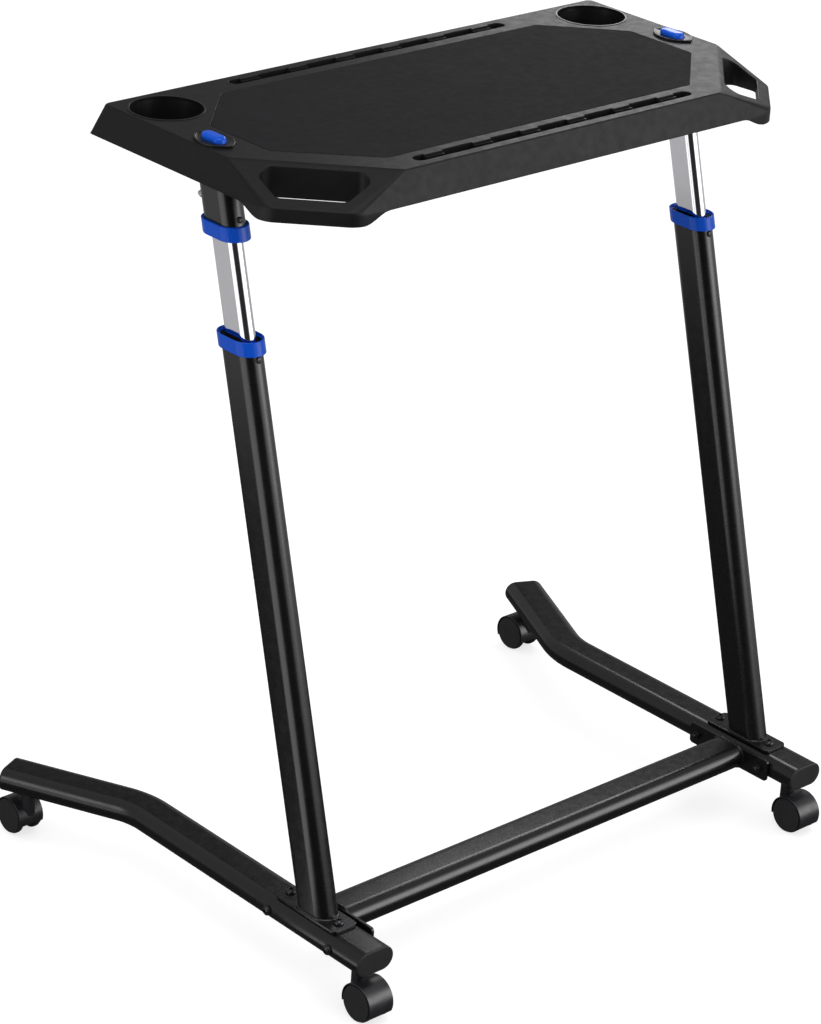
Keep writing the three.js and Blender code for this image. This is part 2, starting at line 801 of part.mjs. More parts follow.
// A collar grips the end of a tube. hand is 1 where its lip looks up, -1 where it looks down
function collar(level, screwLevel, hand, side) {
  const span = (from, to) => [Math.min(from, to), Math.max(from, to)];
  const lipEnd = level + hand * collarHeight / 2;
  const otherEnd = level - hand * collarHeight / 2;
  const shoulderEnd = lipEnd - hand * collarLip;
  const seat = shoulderEnd - hand * collarShoulder;
  const bandWidth = legTubeWidth + 2 * collarProud;
  const bandLength = legTubeLength + 2 * collarProud;
  const pocketWidth = legTubeWidth + 2 * gap;
  const pocketLength = legTubeLength + 2 * gap;
  const cut = (width, length, from, to) => leanPrism(ovalPoints(width, length), ...span(from, to), side);
  let body = cut(bandWidth, bandLength, otherEnd, lipEnd);
  body = body.subtract(cut(pocketWidth, pocketLength, otherEnd - hand * overrun, seat));
  const recessWidth = bandWidth - 2 * collarLipWall;
  const recessLength = bandLength - 2 * collarLipWall;
  body = body.subtract(cut(recessWidth, recessLength, shoulderEnd, lipEnd + hand * overrun));
  const spigotInset = 2 * legTubeWall + 2 * gap;
  const spigotEnd = seat - hand * spigotReach;
  body = body.add(cut(legTubeWidth - spigotInset, legTubeLength - spigotInset, spigotEnd, shoulderEnd));
  const boreWidth = innerTubeWidth + 2 * gap;
  const boreLength = innerTubeLength + 2 * gap;
  body = body.subtract(cut(boreWidth, boreLength, spigotEnd - hand * overrun, lipEnd + hand * overrun));
  return body.subtract(crossHole(collarScrewRadius + gap, screwLevel, -1, side));
}

function lowerTube(side) {
  const plateBottom = footTop + gap;
  const plateTop = plateBottom + basePlateThickness;
  const tube = ovalTube(legTubeWidth, legTubeLength, legTubeWall, plateTop - gap, lowerTubeTop, side);
  const plateOutline = roundedPoints(rectangle(basePlateWidth / 2, basePlateLength / 2), basePlateRadius);
  let body = tube.add(levelPrism(plateOutline, plateBottom, plateTop, side * legX, basePlateY));
  for (const y of [baseBoltFrontY, baseBoltBackY]) {
    const hole = circlePoints(boltRadius + gap, boltSteps);
    body = body.subtract(levelPrism(hole, plateBottom - overrun, plateTop + overrun, side * legX, y));
  }
  return body.subtract(crossHole(collarScrewRadius + gap, lowerScrewZ, -1, side));
}

function collarScrew(level, side) {
  const profile = [
    [0, -collarScrewReach],
    [collarScrewRadius, -collarScrewReach],
    [collarScrewRadius, gap],
    [collarScrewHeadRadius, gap],
    [collarScrewHeadRadius, gap + collarScrewHeadHeight / 2],
    [collarScrewHeadRadius / 2, gap + collarScrewHeadHeight],
    [0, gap + collarScrewHeadHeight],
  ];
  return acrossLeg(turned(profile), level, -1, side);
}

function sleeveBolt(side) {
  const profile = [
    [0, -sleeveBoltReach],
    [sleeveBoltRadius, -sleeveBoltReach],
    [sleeveBoltRadius, gap],
    [sleeveNutRadius, gap],
    [sleeveNutRadius, gap + sleeveNutHeight],
    [sleeveBoltRadius, gap + sleeveNutHeight],
    [sleeveBoltRadius, gap + sleeveNutHeight + sleeveBoltTail],
    [0, gap + sleeveNutHeight + sleeveBoltTail],
  ];
  return acrossLeg(turned(profile), sleeveBoltZ, 1, side);
}

// Foot: the section is carried along a straight run, a soft bend and the splayed run
const bendRadius = bendTangent / Math.tan(footSplay / 2);
const footEndY = footBend + (footEndX - legX) / Math.tan(footSplay);
const capInset = capThickness + gap;

function footStations(side) {
  const stations = [{ x: legX, y: footFront + capInset, turn: 0 }];
  for (let step = 0; step <= bendSteps; step += 1) {
    const turn = footSplay * step / bendSteps;
    const x = legX + bendRadius * (1 - Math.cos(turn));
    const y = footBend - bendTangent + bendRadius * Math.sin(turn);
    stations.push({ x, y, turn });
  }
  stations.push({
    x: footEndX - capInset * Math.sin(footSplay),
    y: footEndY - capInset * Math.cos(footSplay),
    turn: footSplay,
  });
  return stations.map((place) => ({ x: side * place.x, y: place.y, turn: side * place.turn }));
}

function footRun(width, height, side, overshoot) {
  const stations = footStations(side);
  const last = stations[stations.length - 1];
  stations[0].y -= overshoot;
  last.x += overshoot * Math.sin(last.turn);
  last.y += overshoot * Math.cos(last.turn);
  const section = ovalPoints(height, width).map((p) => new THREE.Vector2(p.y, -p.x));
  return solid(loft(stations.map((place) => section.map((p) => ({
    x: place.x - p.x * Math.cos(place.turn),
    y: place.y + p.x * Math.sin(place.turn),
    z: footMid + p.y,
    u: p.x,
    v: p.y,
  })))));
}

function casterPlace(side, end) {
  return end < 0 ? { x: side * legX, y: casterFrontY } : { x: side * casterBackX, y: casterBackY };
}

function foot(side) {
  let body = footRun(footWidth, footHeight, side, 0);
  body = body.subtract(footRun(footWidth - 2 * footWall, footHeight - 2 * footWall, side, overrun));
  for (const y of [baseBoltFrontY, baseBoltBackY]) {
    const hole = circlePoints(boltRadius + gap, boltSteps);
    body = body.subtract(levelPrism(hole, footBottom - overrun, footTop + overrun, side * legX, y));
  }
  for (const y of [crossBoltFrontY, crossBoltBackY]) {
    const reach = footWidth / 2 + overrun;
    const pin = turned([[0, -reach], [boltRadius + gap, -reach], [boltRadius + gap, reach], [0, reach]]);
    body = body.subtract(solid(pin.rotateY(Math.PI / 2).translate(side * legX, y, footMid)));
  }
  for (const end of [-1, 1]) {
    const place = casterPlace(side, end);
    const hole = circlePoints(stemRadius + gap, boltSteps);
    body = body.subtract(levelPrism(hole, footBottom - overrun, footMid, place.x, place.y));
  }
  return body;
}

// End cap: a plate over the tube's end and a plug inside it
function footCap(side, end) {
  const plugWidth = footWidth - 2 * footWall - 2 * gap;
  const plugHeight = footHeight - 2 * footWall - 2 * gap;
  const plateTop = capThickness;
  const plate = loft([
    levelRing(ovalPoints(footHeight, footWidth), 0),
    levelRing(ovalPoints(footHeight, footWidth), plateTop - capEdge),
    levelRing(ovalPoints(footHeight - 2 * capEdge, footWidth - 2 * capEdge), plateTop),
  ]);
  let body = solid(plate);
  body = body.add(levelPrism(ovalPoints(plugHeight, plugWidth), -capPlug, capEdge));
  const turn = end < 0 ? 0 : -side * footSplay;
  const shape = geometry(body).rotateZ(Math.PI / 2).rotateX(-Math.PI / 2);
  shape.rotateZ(end < 0 ? Math.PI : turn);
  const x = end < 0 ? legX : footEndX - capThickness * Math.sin(footSplay);
  const y = end < 0 ? footFront + capThickness : footEndY - capThickness * Math.cos(footSplay);
  return shape.translate(side * x, y, footMid);
}

// Crossbar: a flat oval tube with a flange welded on each end
function crossbar() {
  const flangeOuter = legX - footWidth / 2 - gap;
  const flangeInner = flangeOuter - flangeThickness;
  const along = (points, from, to) => {
    const body = prism(points, from, to).rotateY(Math.PI / 2);
    return solid(body.translate(0, crossbarY, footMid));
  };
  const reach = flangeInner + flangeThickness / 2;
  let body = along(ovalPoints(footHeight, footWidth), -reach, reach);
  const bore = ovalPoints(footHeight - 2 * crossbarWall, footWidth - 2 * crossbarWall);
  body = body.subtract(along(bore, -flangeInner, flangeInner));
  for (const side of [1, -1]) {
    const near = Math.min(side * flangeInner, side * flangeOuter);
    const plate = roundedPoints(rectangle(flangeHeight / 2, flangeLength / 2), flangeRadius);
    body = body.add(along(plate, near, near + flangeThickness));
  }
  body = body.subtract(along(circlePoints(flangeVentRadius, boltSteps), -flangeOuter - overrun,
    flangeOuter + overrun));
  for (const y of [crossBoltFrontY, crossBoltBackY]) {
    const hole = circlePoints(boltRadius + gap, boltSteps).map((p) => p.add(new THREE.Vector2(0, y - crossbarY)));
    body = body.subtract(along(hole, -flangeOuter - overrun, flangeOuter + overrun));
  }
  return body;
}

// A bolt with its nut: the head presses on level 0 and the nut on the far side of the grip
function bolt(grip, tail) {
  const shank = -grip;
  const profile = [
    [0, shank - tail],
    [boltRadius, shank - tail],
    [boltRadius, shank - nutHeight],
    [nutRadius, shank - nutHeight],
    [nutRadius, shank],
    [boltRadius, shank],
    [boltRadius, 0],
    [boltHeadRadius, 0],
    [boltHeadRadius, boltHeadEdge],
    [boltHeadRadius - boltHeadEdge, boltHeadHeight - boltHeadEdge / 2],
    [socketRadius, boltHeadHeight],
    [socketRadius, boltHeadHeight - socketDepth],
    [0, boltHeadHeight - socketDepth],
  ];
  return turned(profile);
}

function baseBolt(side, y) {
  const seat = footTop + gap + basePlateThickness + gap;
  const grip = seat - footBottom + gap;
  return bolt(grip, baseBoltTail).translate(side * legX, y, seat);
}

function crossbarBolt(side, y) {
  const grip = footWidth + flangeThickness + 3 * gap;
  const body = bolt(grip, crossBoltTail).rotateY(side * Math.PI / 2);
  return body.translate(side * (legX + footWidth / 2 + gap), y, footMid);
}

// Casters: a stem in the foot, a hood that swivels on it and twin wheels on one axle
const axleLevel = wheelRadius;

function casterStem(side, end) {
  const place = casterPlace(side, end);
  const nutBottom = bossTop + gap;
  const profile = [
    [0, stemBottom],
    [stemRadius, stemBottom],
    [stemRadius, nutBottom],
    [stemNutRadius, nutBottom],
    [stemNutRadius, footBottom - gap],
    [stemRadius, footBottom - gap],
    [stemRadius, footBottom + stemRise],
    [0, footBottom + stemRise],
  ];
  return turned(profile).translate(place.x, place.y, 0);
}

function hoodArc(radius, from, to, steps) {
  const points = [];
  for (let step = 0; step <= steps; step += 1) {
    const angle = from + (to - from) * step / steps;
    points.push(new THREE.Vector2(radius * Math.cos(angle), radius * Math.sin(angle)));
  }
  return points;
}

function casterHood(side, end) {
  const place = casterPlace(side, end);
  const inner = wheelRadius + hoodGap;
  const outer = inner + hoodWall;
  const across = (points, halfWidth) => {
    const body = prism(points, -halfWidth, halfWidth);
    return solid(body.rotateX(Math.PI / 2).rotateZ(Math.PI / 2));
  };
  const band = [
    ...hoodArc(outer, hoodEndAngle, hoodStemAngle, hoodSteps),
    ...hoodArc(inner, hoodStemAngle, hoodEndAngle, hoodSteps),
  ];
  const web = [...hoodArc(inner + hoodWall / 2, hoodEndAngle, hoodStemAngle, hoodSteps)];
  let body = across(band, hoodHalfWidth).add(across(web, hoodWeb));
  const boss = turned([[0, bossTop - axleLevel - bossDrop], [bossRadius, bossTop - axleLevel - bossDrop],
    [bossRadius, bossTop - axleLevel], [0, bossTop - axleLevel]]);
  body = body.add(solid(boss.translate(0, -casterTrail, 0)));
  const bore = turned([[0, stemBottom - gap - axleLevel], [stemRadius + gap, stemBottom - gap - axleLevel],
    [stemRadius + gap, bossTop], [0, bossTop]]);
  body = body.subtract(solid(bore.translate(0, -casterTrail, 0)));
  body = body.subtract(across(circlePoints(axleRadius + gap, boltSteps), hoodHalfWidth));
  const shape = geometry(body);
  shape.rotateZ(end < 0 ? Math.PI : 0);
  return shape.translate(place.x, place.y + end * casterTrail, axleLevel);
}

function casterWheels(side, end) {
  const place = casterPlace(side, end);
  const halfProfile = [
    [wheelRadius - wheelEdge, wheelHalfWidth],
    [wheelRadius, wheelHalfWidth - wheelEdge],
    [wheelRadius, wheelGap],
    [wheelRadius - wheelRim, wheelGap],
    [wheelRadius - wheelRim, wheelHalfWidth - wheelFace],
    [hubRadius, wheelHalfWidth - wheelFace],
    [hubRadius, hubGap],
    [axleRadius, hubGap],
  ];
  const mirrored = halfProfile.map(([radius, x]) => [radius, -x]);
  const profile = [[0, -wheelHalfWidth], ...mirrored, ...halfProfile.reverse(), [0, wheelHalfWidth]];
  const body = turned(profile, roundSteps).rotateY(Math.PI / 2);
  return body.translate(place.x, place.y + end * casterTrail, axleLevel);
}

node('crossbar', crossbar(), finishes.powder);

for (const [hand, side] of [['left', -1], ['right', 1]]) {
  node(`${hand}_cup_liner`, cupLiner(side), finishes.linerPlastic);
  node(`${hand}_button_bezel`, bezel(side), finishes.satinPlastic);
  node(`${hand}_release_button`, button(side), finishes.blue);
  node(`${hand}_release_rod`, releaseRod(side), finishes.zinc);
  node(`${hand}_lock_shoe`, lockShoe(side), finishes.satinPlastic);
  node(`${hand}_leg_bracket`, legBracket(side), finishes.powder);
  node(`${hand}_upper_sleeve`, upperSleeve(side), finishes.powder);
  node(`${hand}_upper_collar`, collar(upperCollarZ, upperScrewZ, -1, side), finishes.blue);
  node(`${hand}_inner_tube`, innerTube(side), finishes.chrome);
  node(`${hand}_lower_collar`, collar(lowerCollarZ, lowerScrewZ, 1, side), finishes.blue);
  node(`${hand}_lower_tube`, lowerTube(side), finishes.powder);
  node(`${hand}_upper_collar_screw`, collarScrew(upperScrewZ, side), finishes.blackScrew);
  node(`${hand}_lower_collar_screw`, collarScrew(lowerScrewZ, side), finishes.blackScrew);
  node(`${hand}_sleeve_bolt`, sleeveBolt(side), finishes.zinc);
  node(`${hand}_foot`, foot(side), finishes.powder);
  for (const [place, end] of [['front', -1], ['back', 1]]) {
    node(`${hand}_${place}_foot_cap`, footCap(side, end), finishes.cap);
    node(`${hand}_${place}_caster_stem`, casterStem(side, end), finishes.zinc);
    node(`${hand}_${place}_caster_hood`, casterHood(side, end), finishes.satinPlastic);
    node(`${hand}_${place}_caster_wheels`, casterWheels(side, end), finishes.wheel);
    const baseBoltY = end < 0 ? baseBoltFrontY : baseBoltBackY;
    const crossBoltY = end < 0 ? crossBoltFrontY : crossBoltBackY;
    node(`${hand}_${place}_base_bolt`, baseBolt(side, baseBoltY), finishes.blackScrew);
    node(`${hand}_${place}_crossbar_bolt`, crossbarBolt(side, crossBoltY), finishes.blackScrew);
  }
}

export default group;
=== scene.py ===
# %% [markdown]
# # A bike trainer desk, dressed for its photograph
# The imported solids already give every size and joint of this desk. This lesson builds a finer visible skin
# round them: soft edges that catch the light, walls with a thickness, grain in the plastic and orange peel
# in the powder coat. Lengths are written in millimetres, as in the solids' source, and become metres when a
# mesh is made.

# %% The frame and the tools
import math

import bmesh
import bpy
import numpy as np
from mathutils import Matrix


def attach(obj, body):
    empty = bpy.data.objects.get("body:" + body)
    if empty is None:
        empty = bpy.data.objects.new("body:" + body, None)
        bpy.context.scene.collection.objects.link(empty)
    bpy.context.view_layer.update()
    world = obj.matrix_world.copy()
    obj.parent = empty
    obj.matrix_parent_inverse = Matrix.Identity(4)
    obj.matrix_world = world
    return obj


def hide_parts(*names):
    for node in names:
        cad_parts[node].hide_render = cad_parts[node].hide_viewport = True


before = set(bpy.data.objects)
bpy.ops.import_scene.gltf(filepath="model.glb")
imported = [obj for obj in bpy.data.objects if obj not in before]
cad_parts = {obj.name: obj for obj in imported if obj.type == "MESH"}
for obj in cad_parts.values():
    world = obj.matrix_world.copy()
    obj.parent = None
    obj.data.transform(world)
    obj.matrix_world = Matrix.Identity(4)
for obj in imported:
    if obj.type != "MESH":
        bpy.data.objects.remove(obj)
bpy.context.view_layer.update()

MM = 0.001

# %% [markdown]
# ## The camera
# The camera stands about four metres off, in front and to the left, looking down a little, and is rolled by
# three degrees. A long lens keeps the legs nearly parallel. The three axes of the camera come from two
# angles and the roll, and they fill the columns of its matrix.

# %% Camera axes from azimuth, elevation and roll
azimuth, elevation, roll = (math.radians(a) for a in (-42.9726, 22.896, 3.2092))
camera_place = np.array([-2818.5, -2941.8, 2317.6])
focal_pixels, photo_height, axis_row = 3537.77, 1024, 400
sensor_height = 36.0

backward = np.array([math.sin(azimuth) * math.cos(elevation), -math.cos(azimuth) * math.cos(elevation),
                     math.sin(elevation)])
level_right = np.cross(-backward, (0, 0, 1))
level_right /= np.linalg.norm(level_right)
level_up = np.cross(level_right, -backward)
right = level_right * math.cos(roll) + level_up * math.sin(roll)
upward = level_up * math.cos(roll) - level_right * math.sin(roll)

lens = bpy.data.cameras.new("desk_camera")
lens.sensor_fit = "VERTICAL"
lens.sensor_height = sensor_height
lens.lens = focal_pixels / photo_height * sensor_height
lens.shift_y = (axis_row - photo_height / 2) / photo_height
lens.clip_end = 60
camera = bpy.data.objects.new("desk_camera", lens)
camera.matrix_world = Matrix.Translation(camera_place * MM) @ Matrix(np.column_stack(
    [right, upward, backward]).tolist()).to_4x4()
bpy.context.scene.collection.objects.link(camera)
bpy.context.scene.camera = camera
print("camera lens", round(lens.lens, 1), "mm, shift", round(lens.shift_y, 3))

# %% [markdown]
# ## The studio
# The photograph has a plain white background, and at the same time its chrome shows a room with light and
# dark parts. A world of one colour could not give both, so the room and the floor each have two sides:
# Light Path tells a shader whether a ray comes from the camera or from a mirror. Four short helpers keep
# the node trees readable.

# %% Helpers for shader nodes
def add_node(tree, kind, **settings):
    """One node of a kind, with its attributes and its input values set by name or by place."""
    node = tree.nodes.new(kind)
    for key, value in settings.items():
        if key == "inputs":
            for socket, number in value.items():
                node.inputs[socket].default_value = number
        else:
            setattr(node, key, value)
    return node


def plug(tree, start, end):
    """A link from an output to an input."""
    tree.links.new(end, start)


def product(tree, first, second):
    """The output of a node that multiplies two outputs."""
    times = add_node(tree, "ShaderNodeMath", operation="MULTIPLY")
    plug(tree, first, times.inputs[0])
    plug(tree, second, times.inputs[1])
    return times.outputs[0]


def patch(tree, vector, zone, inside, outside):
    """A number that is inside near a direction and outside away from it: the cosine of the angle between
    vector and the zone's direction, smoothed between the zone's narrow and wide angle in degrees."""
    way, narrow, wide = zone
    cosine = add_node(tree, "ShaderNodeVectorMath", operation="DOT_PRODUCT")
    cosine.inputs[1].default_value = way
    limits = {"From Min": math.cos(math.radians(wide)), "From Max": math.cos(math.radians(narrow)),
              "To Min": outside, "To Max": inside}
    eased_in = add_node(tree, "ShaderNodeMapRange", interpolation_type="SMOOTHSTEP", inputs=limits)
    plug(tree, vector, cosine.inputs[0])
    plug(tree, cosine.outputs["Value"], eased_in.inputs["Value"])
    return eased_in.outputs[0]


print("helpers for nodes ready")


# %% [markdown]
# The room is white to the camera and an even grey white to rays that light matt surfaces. Mirror rays see a
# dim room with a bright window at the front right, a dark wall at the front left and a dim part high at the
# right rear. The wall draws the dark line down the chrome tubes, the window the white band beside it, and
# the dim part keeps the tops of the feet dark.

# %% The room
room_light, mirrored_light, window_light, wall_share, dim_share = 0.62, 0.27, 1.4, 0.08, 0.1
wall_zone = (-0.508, -0.859, 0.06), 28, 39
window_zone = (0.574, -0.819, 0.05), 32, 44
dim_zone = (0.56, 0.60, 0.57), 9, 16
white = (1, 1, 1, 1)
world = bpy.data.worlds.new("studio_room")
bpy.context.scene.world = world
world.use_nodes = True
room = world.node_tree
room.nodes.clear()
path = add_node(room, "ShaderNodeLightPath")
by_mirror = add_node(room, "ShaderNodeMath", operation="MAXIMUM")
plug(room, path.outputs["Is Glossy Ray"], by_mirror.inputs[0])
plug(room, path.outputs["Is Transmission Ray"], by_mirror.inputs[1])
looking = add_node(room, "ShaderNodeTexCoord").outputs["Generated"]
wall = patch(room, looking, wall_zone, wall_share, 1.0)
window = patch(room, looking, window_zone, window_light, mirrored_light)
dim = patch(room, looking, dim_zone, dim_share, 1.0)
fill = add_node(room, "ShaderNodeBackground", inputs={"Color": white, "Strength": room_light})
mirrored = add_node(room, "ShaderNodeBackground", inputs={"Color": white})
plain = add_node(room, "ShaderNodeBackground", inputs={"Color": white, "Strength": 1.0})
plug(room, product(room, product(room, wall, window), dim), mirrored.inputs["Strength"])
unseen = add_node(room, "ShaderNodeMixShader")
either = add_node(room, "ShaderNodeMixShader")
room_out = add_node(room, "ShaderNodeOutputWorld")
plug(room, by_mirror.outputs[0], unseen.inputs[0])
plug(room, fill.outputs[0], unseen.inputs[1])
plug(room, mirrored.outputs[0], unseen.inputs[2])
plug(room, path.outputs["Is Camera Ray"], either.inputs[0])
plug(room, unseen.outputs[0], either.inputs[1])
plug(room, plain.outputs[0], either.inputs[2])
plug(room, either.outputs[0], room_out.inputs[0])
bpy.context.scene.view_settings.view_transform = "Standard"
print("room light", room_light, "and", len(room.nodes), "nodes")

# %% [markdown]
# The floor is matt, so it takes a faint shadow, and a glow that only the camera sees lifts it to white.
# Mirror rays see another glow and nothing else. It has a plan, laid out round the foot of the left leg:
# dark near the leg, grey farther off, bright to the left and dark at the front left. The flat sides of the
# tubes mirror the near floor, and their rounded edges sweep over the rest, which gives each tube its bands.

# %% The floor
floor_reach, floor_white, floor_grey = 30.0, 0.72, (0.52, 0.52, 0.52, 1)
near_floor, far_floor, bright_floor = 0.05, 0.46, 1.3
near_reach, far_reach = 1.2, 2.0
foot_of_leg = (-0.50, -0.10, 0.0)
bright_zone = (-0.996, 0.087, 0.0), 24, 36
floor_mesh = bpy.data.meshes.new("floor")
floor_mesh.from_pydata([(-floor_reach, -floor_reach, 0), (floor_reach, -floor_reach, 0),
                        (floor_reach, floor_reach, 0), (-floor_reach, floor_reach, 0)], [], [(0, 1, 2, 3)])
floor = bpy.data.objects.new("floor", floor_mesh)
bpy.context.scene.collection.objects.link(floor)
floor_paint = bpy.data.materials.new("floor_paint")
floor_paint.use_nodes = True
paint = floor_paint.node_tree
paint.nodes.clear()
floor_path = add_node(paint, "ShaderNodeLightPath")
from_leg = add_node(paint, "ShaderNodeVectorMath", operation="SUBTRACT")
from_leg.inputs[1].default_value = foot_of_leg
reach = add_node(paint, "ShaderNodeVectorMath", operation="LENGTH")
way = add_node(paint, "ShaderNodeVectorMath", operation="NORMALIZE")
ring = add_node(paint, "ShaderNodeMapRange", interpolation_type="SMOOTHSTEP",
                inputs={"From Min": near_reach, "From Max": far_reach,
                        "To Min": near_floor, "To Max": far_floor})
plug(paint, add_node(paint, "ShaderNodeTexCoord").outputs["Object"], from_leg.inputs[0])
plug(paint, from_leg.outputs[0], reach.inputs[0])
plug(paint, from_leg.outputs[0], way.inputs[0])
plug(paint, reach.outputs["Value"], ring.inputs["Value"])
lit = add_node(paint, "ShaderNodeMath", operation="MAXIMUM")
plug(paint, ring.outputs[0], lit.inputs[0])
plug(paint, patch(paint, way.outputs[0], bright_zone, bright_floor, 0.0), lit.inputs[1])
shaded = product(paint, lit.outputs[0], patch(paint, way.outputs[0], wall_zone, wall_share, 1.0))
for_mirrors = product(paint, floor_path.outputs["Is Glossy Ray"], shaded)
print("floor plan of", len(paint.nodes), "nodes")

# %% The floor's matt paint and its glow
matt = add_node(paint, "ShaderNodeBsdfDiffuse", inputs={"Color": floor_grey})
unlit = add_node(paint, "ShaderNodeEmission", inputs={"Strength": 0.0})
matt_or_not = add_node(paint, "ShaderNodeMixShader")
plug(paint, floor_path.outputs["Is Glossy Ray"], matt_or_not.inputs[0])
plug(paint, matt.outputs[0], matt_or_not.inputs[1])
plug(paint, unlit.outputs[0], matt_or_not.inputs[2])
glow = add_node(paint, "ShaderNodeEmission", inputs={"Color": white})
glow_level = add_node(paint, "ShaderNodeMath", operation="MULTIPLY_ADD", inputs={1: floor_white})
both = add_node(paint, "ShaderNodeAddShader")
floor_out = add_node(paint, "ShaderNodeOutputMaterial")
plug(paint, floor_path.outputs["Is Camera Ray"], glow_level.inputs[0])
plug(paint, for_mirrors, glow_level.inputs[2])
plug(paint, glow_level.outputs[0], glow.inputs["Strength"])
plug(paint, matt_or_not.outputs[0], both.inputs[0])
plug(paint, glow.outputs[0], both.inputs[1])
plug(paint, both.outputs[0], floor_out.inputs["Surface"])
floor_mesh.materials.append(floor_paint)
print("floor of", 2 * floor_reach, "metres a side")

# %% [markdown]
# Four soft rectangular lamps light the desk. The strip at the left and the box at the front right shape its
# sides, and the box overhead its tops. The small strip stands near the desk at the right rear, where the
# desk's top mirrors it towards the camera as a pale sheen and the feet do not.

# %% The lamps
def soft_lamp(name, place, aim, width, height, radiance):
    """A rectangular lamp at a place in metres, facing aim; its power is radiance times pi times its
    area."""
    light = bpy.data.lights.new(name, "AREA")
    light.shape = "RECTANGLE"
    light.size, light.size_y = width, height
    light.energy = radiance * math.pi * width * height
    lamp = bpy.data.objects.new(name, light)
    away = np.array(place, float) - np.array(aim, float)
    away /= np.linalg.norm(away)
    across = np.cross((0, 0, 1), away)
    across /= np.linalg.norm(across)
    over = np.cross(away, across)
    turned = Matrix(np.column_stack([across, over, away]).tolist()).to_4x4()
    lamp.matrix_world = Matrix.Translation(place) @ turned
    bpy.context.scene.collection.objects.link(lamp)
    print(name, "power", round(light.energy, 1), "W")


soft_lamp("left_strip", (-4.4, 0.6, 1.9), (0, 0, 0.7), 1.6, 2.0, 1.6)
soft_lamp("front_right_box", (2.6, -3.8, 1.6), (0, 0, 0.6), 2.4, 2.4, 1.9)
soft_lamp("near_right_strip", (1.24, 0.76, 1.48), (0.1, -0.1, 1.0), 0.85, 0.36, 4.5)
soft_lamp("overhead_box", (-0.4, -0.6, 3.9), (0, 0, 0.5), 2.4, 2.4, 1.6)

# %% [markdown]
# ## Finishes
# Every surface here is made by machine and nearly plain, so its life is in small things: a moulding has a
# pebbled grain from the etched mould, powder coat has orange peel, chrome is slightly uneven. One recipe
# serves them all: a fine pattern drives the bump, a broad one shifts the colour a little, and a third makes
# the gloss uneven. The patterns read Object coordinates, and because every piece's object sits at the
# origin these are simply places on the desk.

# %% One recipe for a finish
def linear(code):
    """The linear colour of a hex code such as 2b2b2d."""
    values = np.array([int(code[i:i + 2], 16) for i in (0, 2, 4)]) / 255
    return np.where(values <= 0.04045, values / 12.92, ((values + 0.055) / 1.055) ** 2.4)


def finish(name, code, roughness, uneven=0.05, metallic=0.0, grain=700.0, depth=0.02, mottle=0.12,
           patches=14.0, pebble=False, specular=0.5):
    """A principled surface. Colour runs between code darkened and lightened by mottle, over patches
    1/patches metres wide; gloss varies by uneven; the bump is a grain of 1/grain metres, depth millimetres
    high."""
    look = bpy.data.materials.new(name)
    look.use_nodes = True
    tree = look.node_tree
    surface = tree.nodes["Principled BSDF"]
    surface.inputs["Metallic"].default_value = metallic
    surface.inputs["Specular IOR Level"].default_value = specular
    place = add_node(tree, "ShaderNodeTexCoord").outputs["Object"]
    broad = add_node(tree, "ShaderNodeTexNoise", inputs={"Scale": patches, "Detail": 4.0, "Roughness": 0.6})
    middle = add_node(tree, "ShaderNodeTexNoise",
                      inputs={"Scale": patches * 6, "Detail": 3.0, "Roughness": 0.55})
    fine = add_node(tree, "ShaderNodeTexNoise", inputs={"Scale": grain, "Detail": 2.0, "Roughness": 0.6})
    for texture in (broad, middle, fine):
        plug(tree, place, texture.inputs["Vector"])
    tint = add_node(tree, "ShaderNodeValToRGB")
    colour = linear(code)
    for stop, level, share in ((0, 0.3, 1 - mottle), (1, 0.7, 1 + mottle)):
        tint.color_ramp.elements[stop].position = level
        tint.color_ramp.elements[stop].color = (*np.minimum(colour * share, 1), 1)
    plug(tree, broad.outputs["Fac"], tint.inputs["Fac"])
    plug(tree, tint.outputs["Color"], surface.inputs["Base Color"])
    gloss = add_node(tree, "ShaderNodeMapRange",
                     inputs={"From Min": 0.3, "From Max": 0.7,
                             "To Min": roughness - uneven, "To Max": roughness + uneven})
    plug(tree, middle.outputs["Fac"], gloss.inputs["Value"])
    plug(tree, gloss.outputs["Result"], surface.inputs["Roughness"])
    relief = fine.outputs["Fac"]
    if pebble:
        cells = add_node(tree, "ShaderNodeTexVoronoi", feature="SMOOTH_F1", inputs={"Scale": grain * 0.8})
        plug(tree, place, cells.inputs["Vector"])
        blend = add_node(tree, "ShaderNodeMath", operation="ADD")
        plug(tree, cells.outputs["Distance"], blend.inputs[0])
        plug(tree, fine.outputs["Fac"], blend.inputs[1])
        relief = blend.outputs[0]
    bump = add_node(tree, "ShaderNodeBump", inputs={"Strength": 1.0, "Distance": depth * MM})
    plug(tree, relief, bump.inputs["Height"])
    plug(tree, bump.outputs["Normal"], surface.inputs["Normal"])
    return look


# %% The finishes of the desk
moulding = finish("grained_moulding", "19191b", 0.46, grain=620, depth=0.055, mottle=0.10, pebble=True,
                  specular=0.24)
pad_rubber = finish("pad_rubber", "212123", 0.85, grain=900, depth=0.06, mottle=0.10, pebble=True,
                    specular=0.12)
liner_plastic = finish("liner_plastic", "111112", 0.34, grain=400, depth=0.01)
satin_plastic = finish("satin_plastic", "151417", 0.34, grain=800, depth=0.015, specular=0.4)
blue_plastic = finish("blue_plastic", "0456d8", 0.20, uneven=0.03, grain=500, depth=0.006, mottle=0.04,
                      specular=0.3)
powder_coat = finish("powder_coat", "0f0f11", 0.26, uneven=0.03, grain=480, depth=0.02, mottle=0.08,
                     specular=0.85)
bush_plastic = finish("bush_plastic", "0c0c0d", 0.70, grain=700, depth=0.02, specular=0.08)
cap_plastic = finish("cap_plastic", "2d2d2f", 0.50, grain=700, depth=0.03, pebble=True, specular=0.45)
wheel_plastic = finish("wheel_plastic", "2d2d2f", 0.55, grain=600, depth=0.03, specular=0.4)
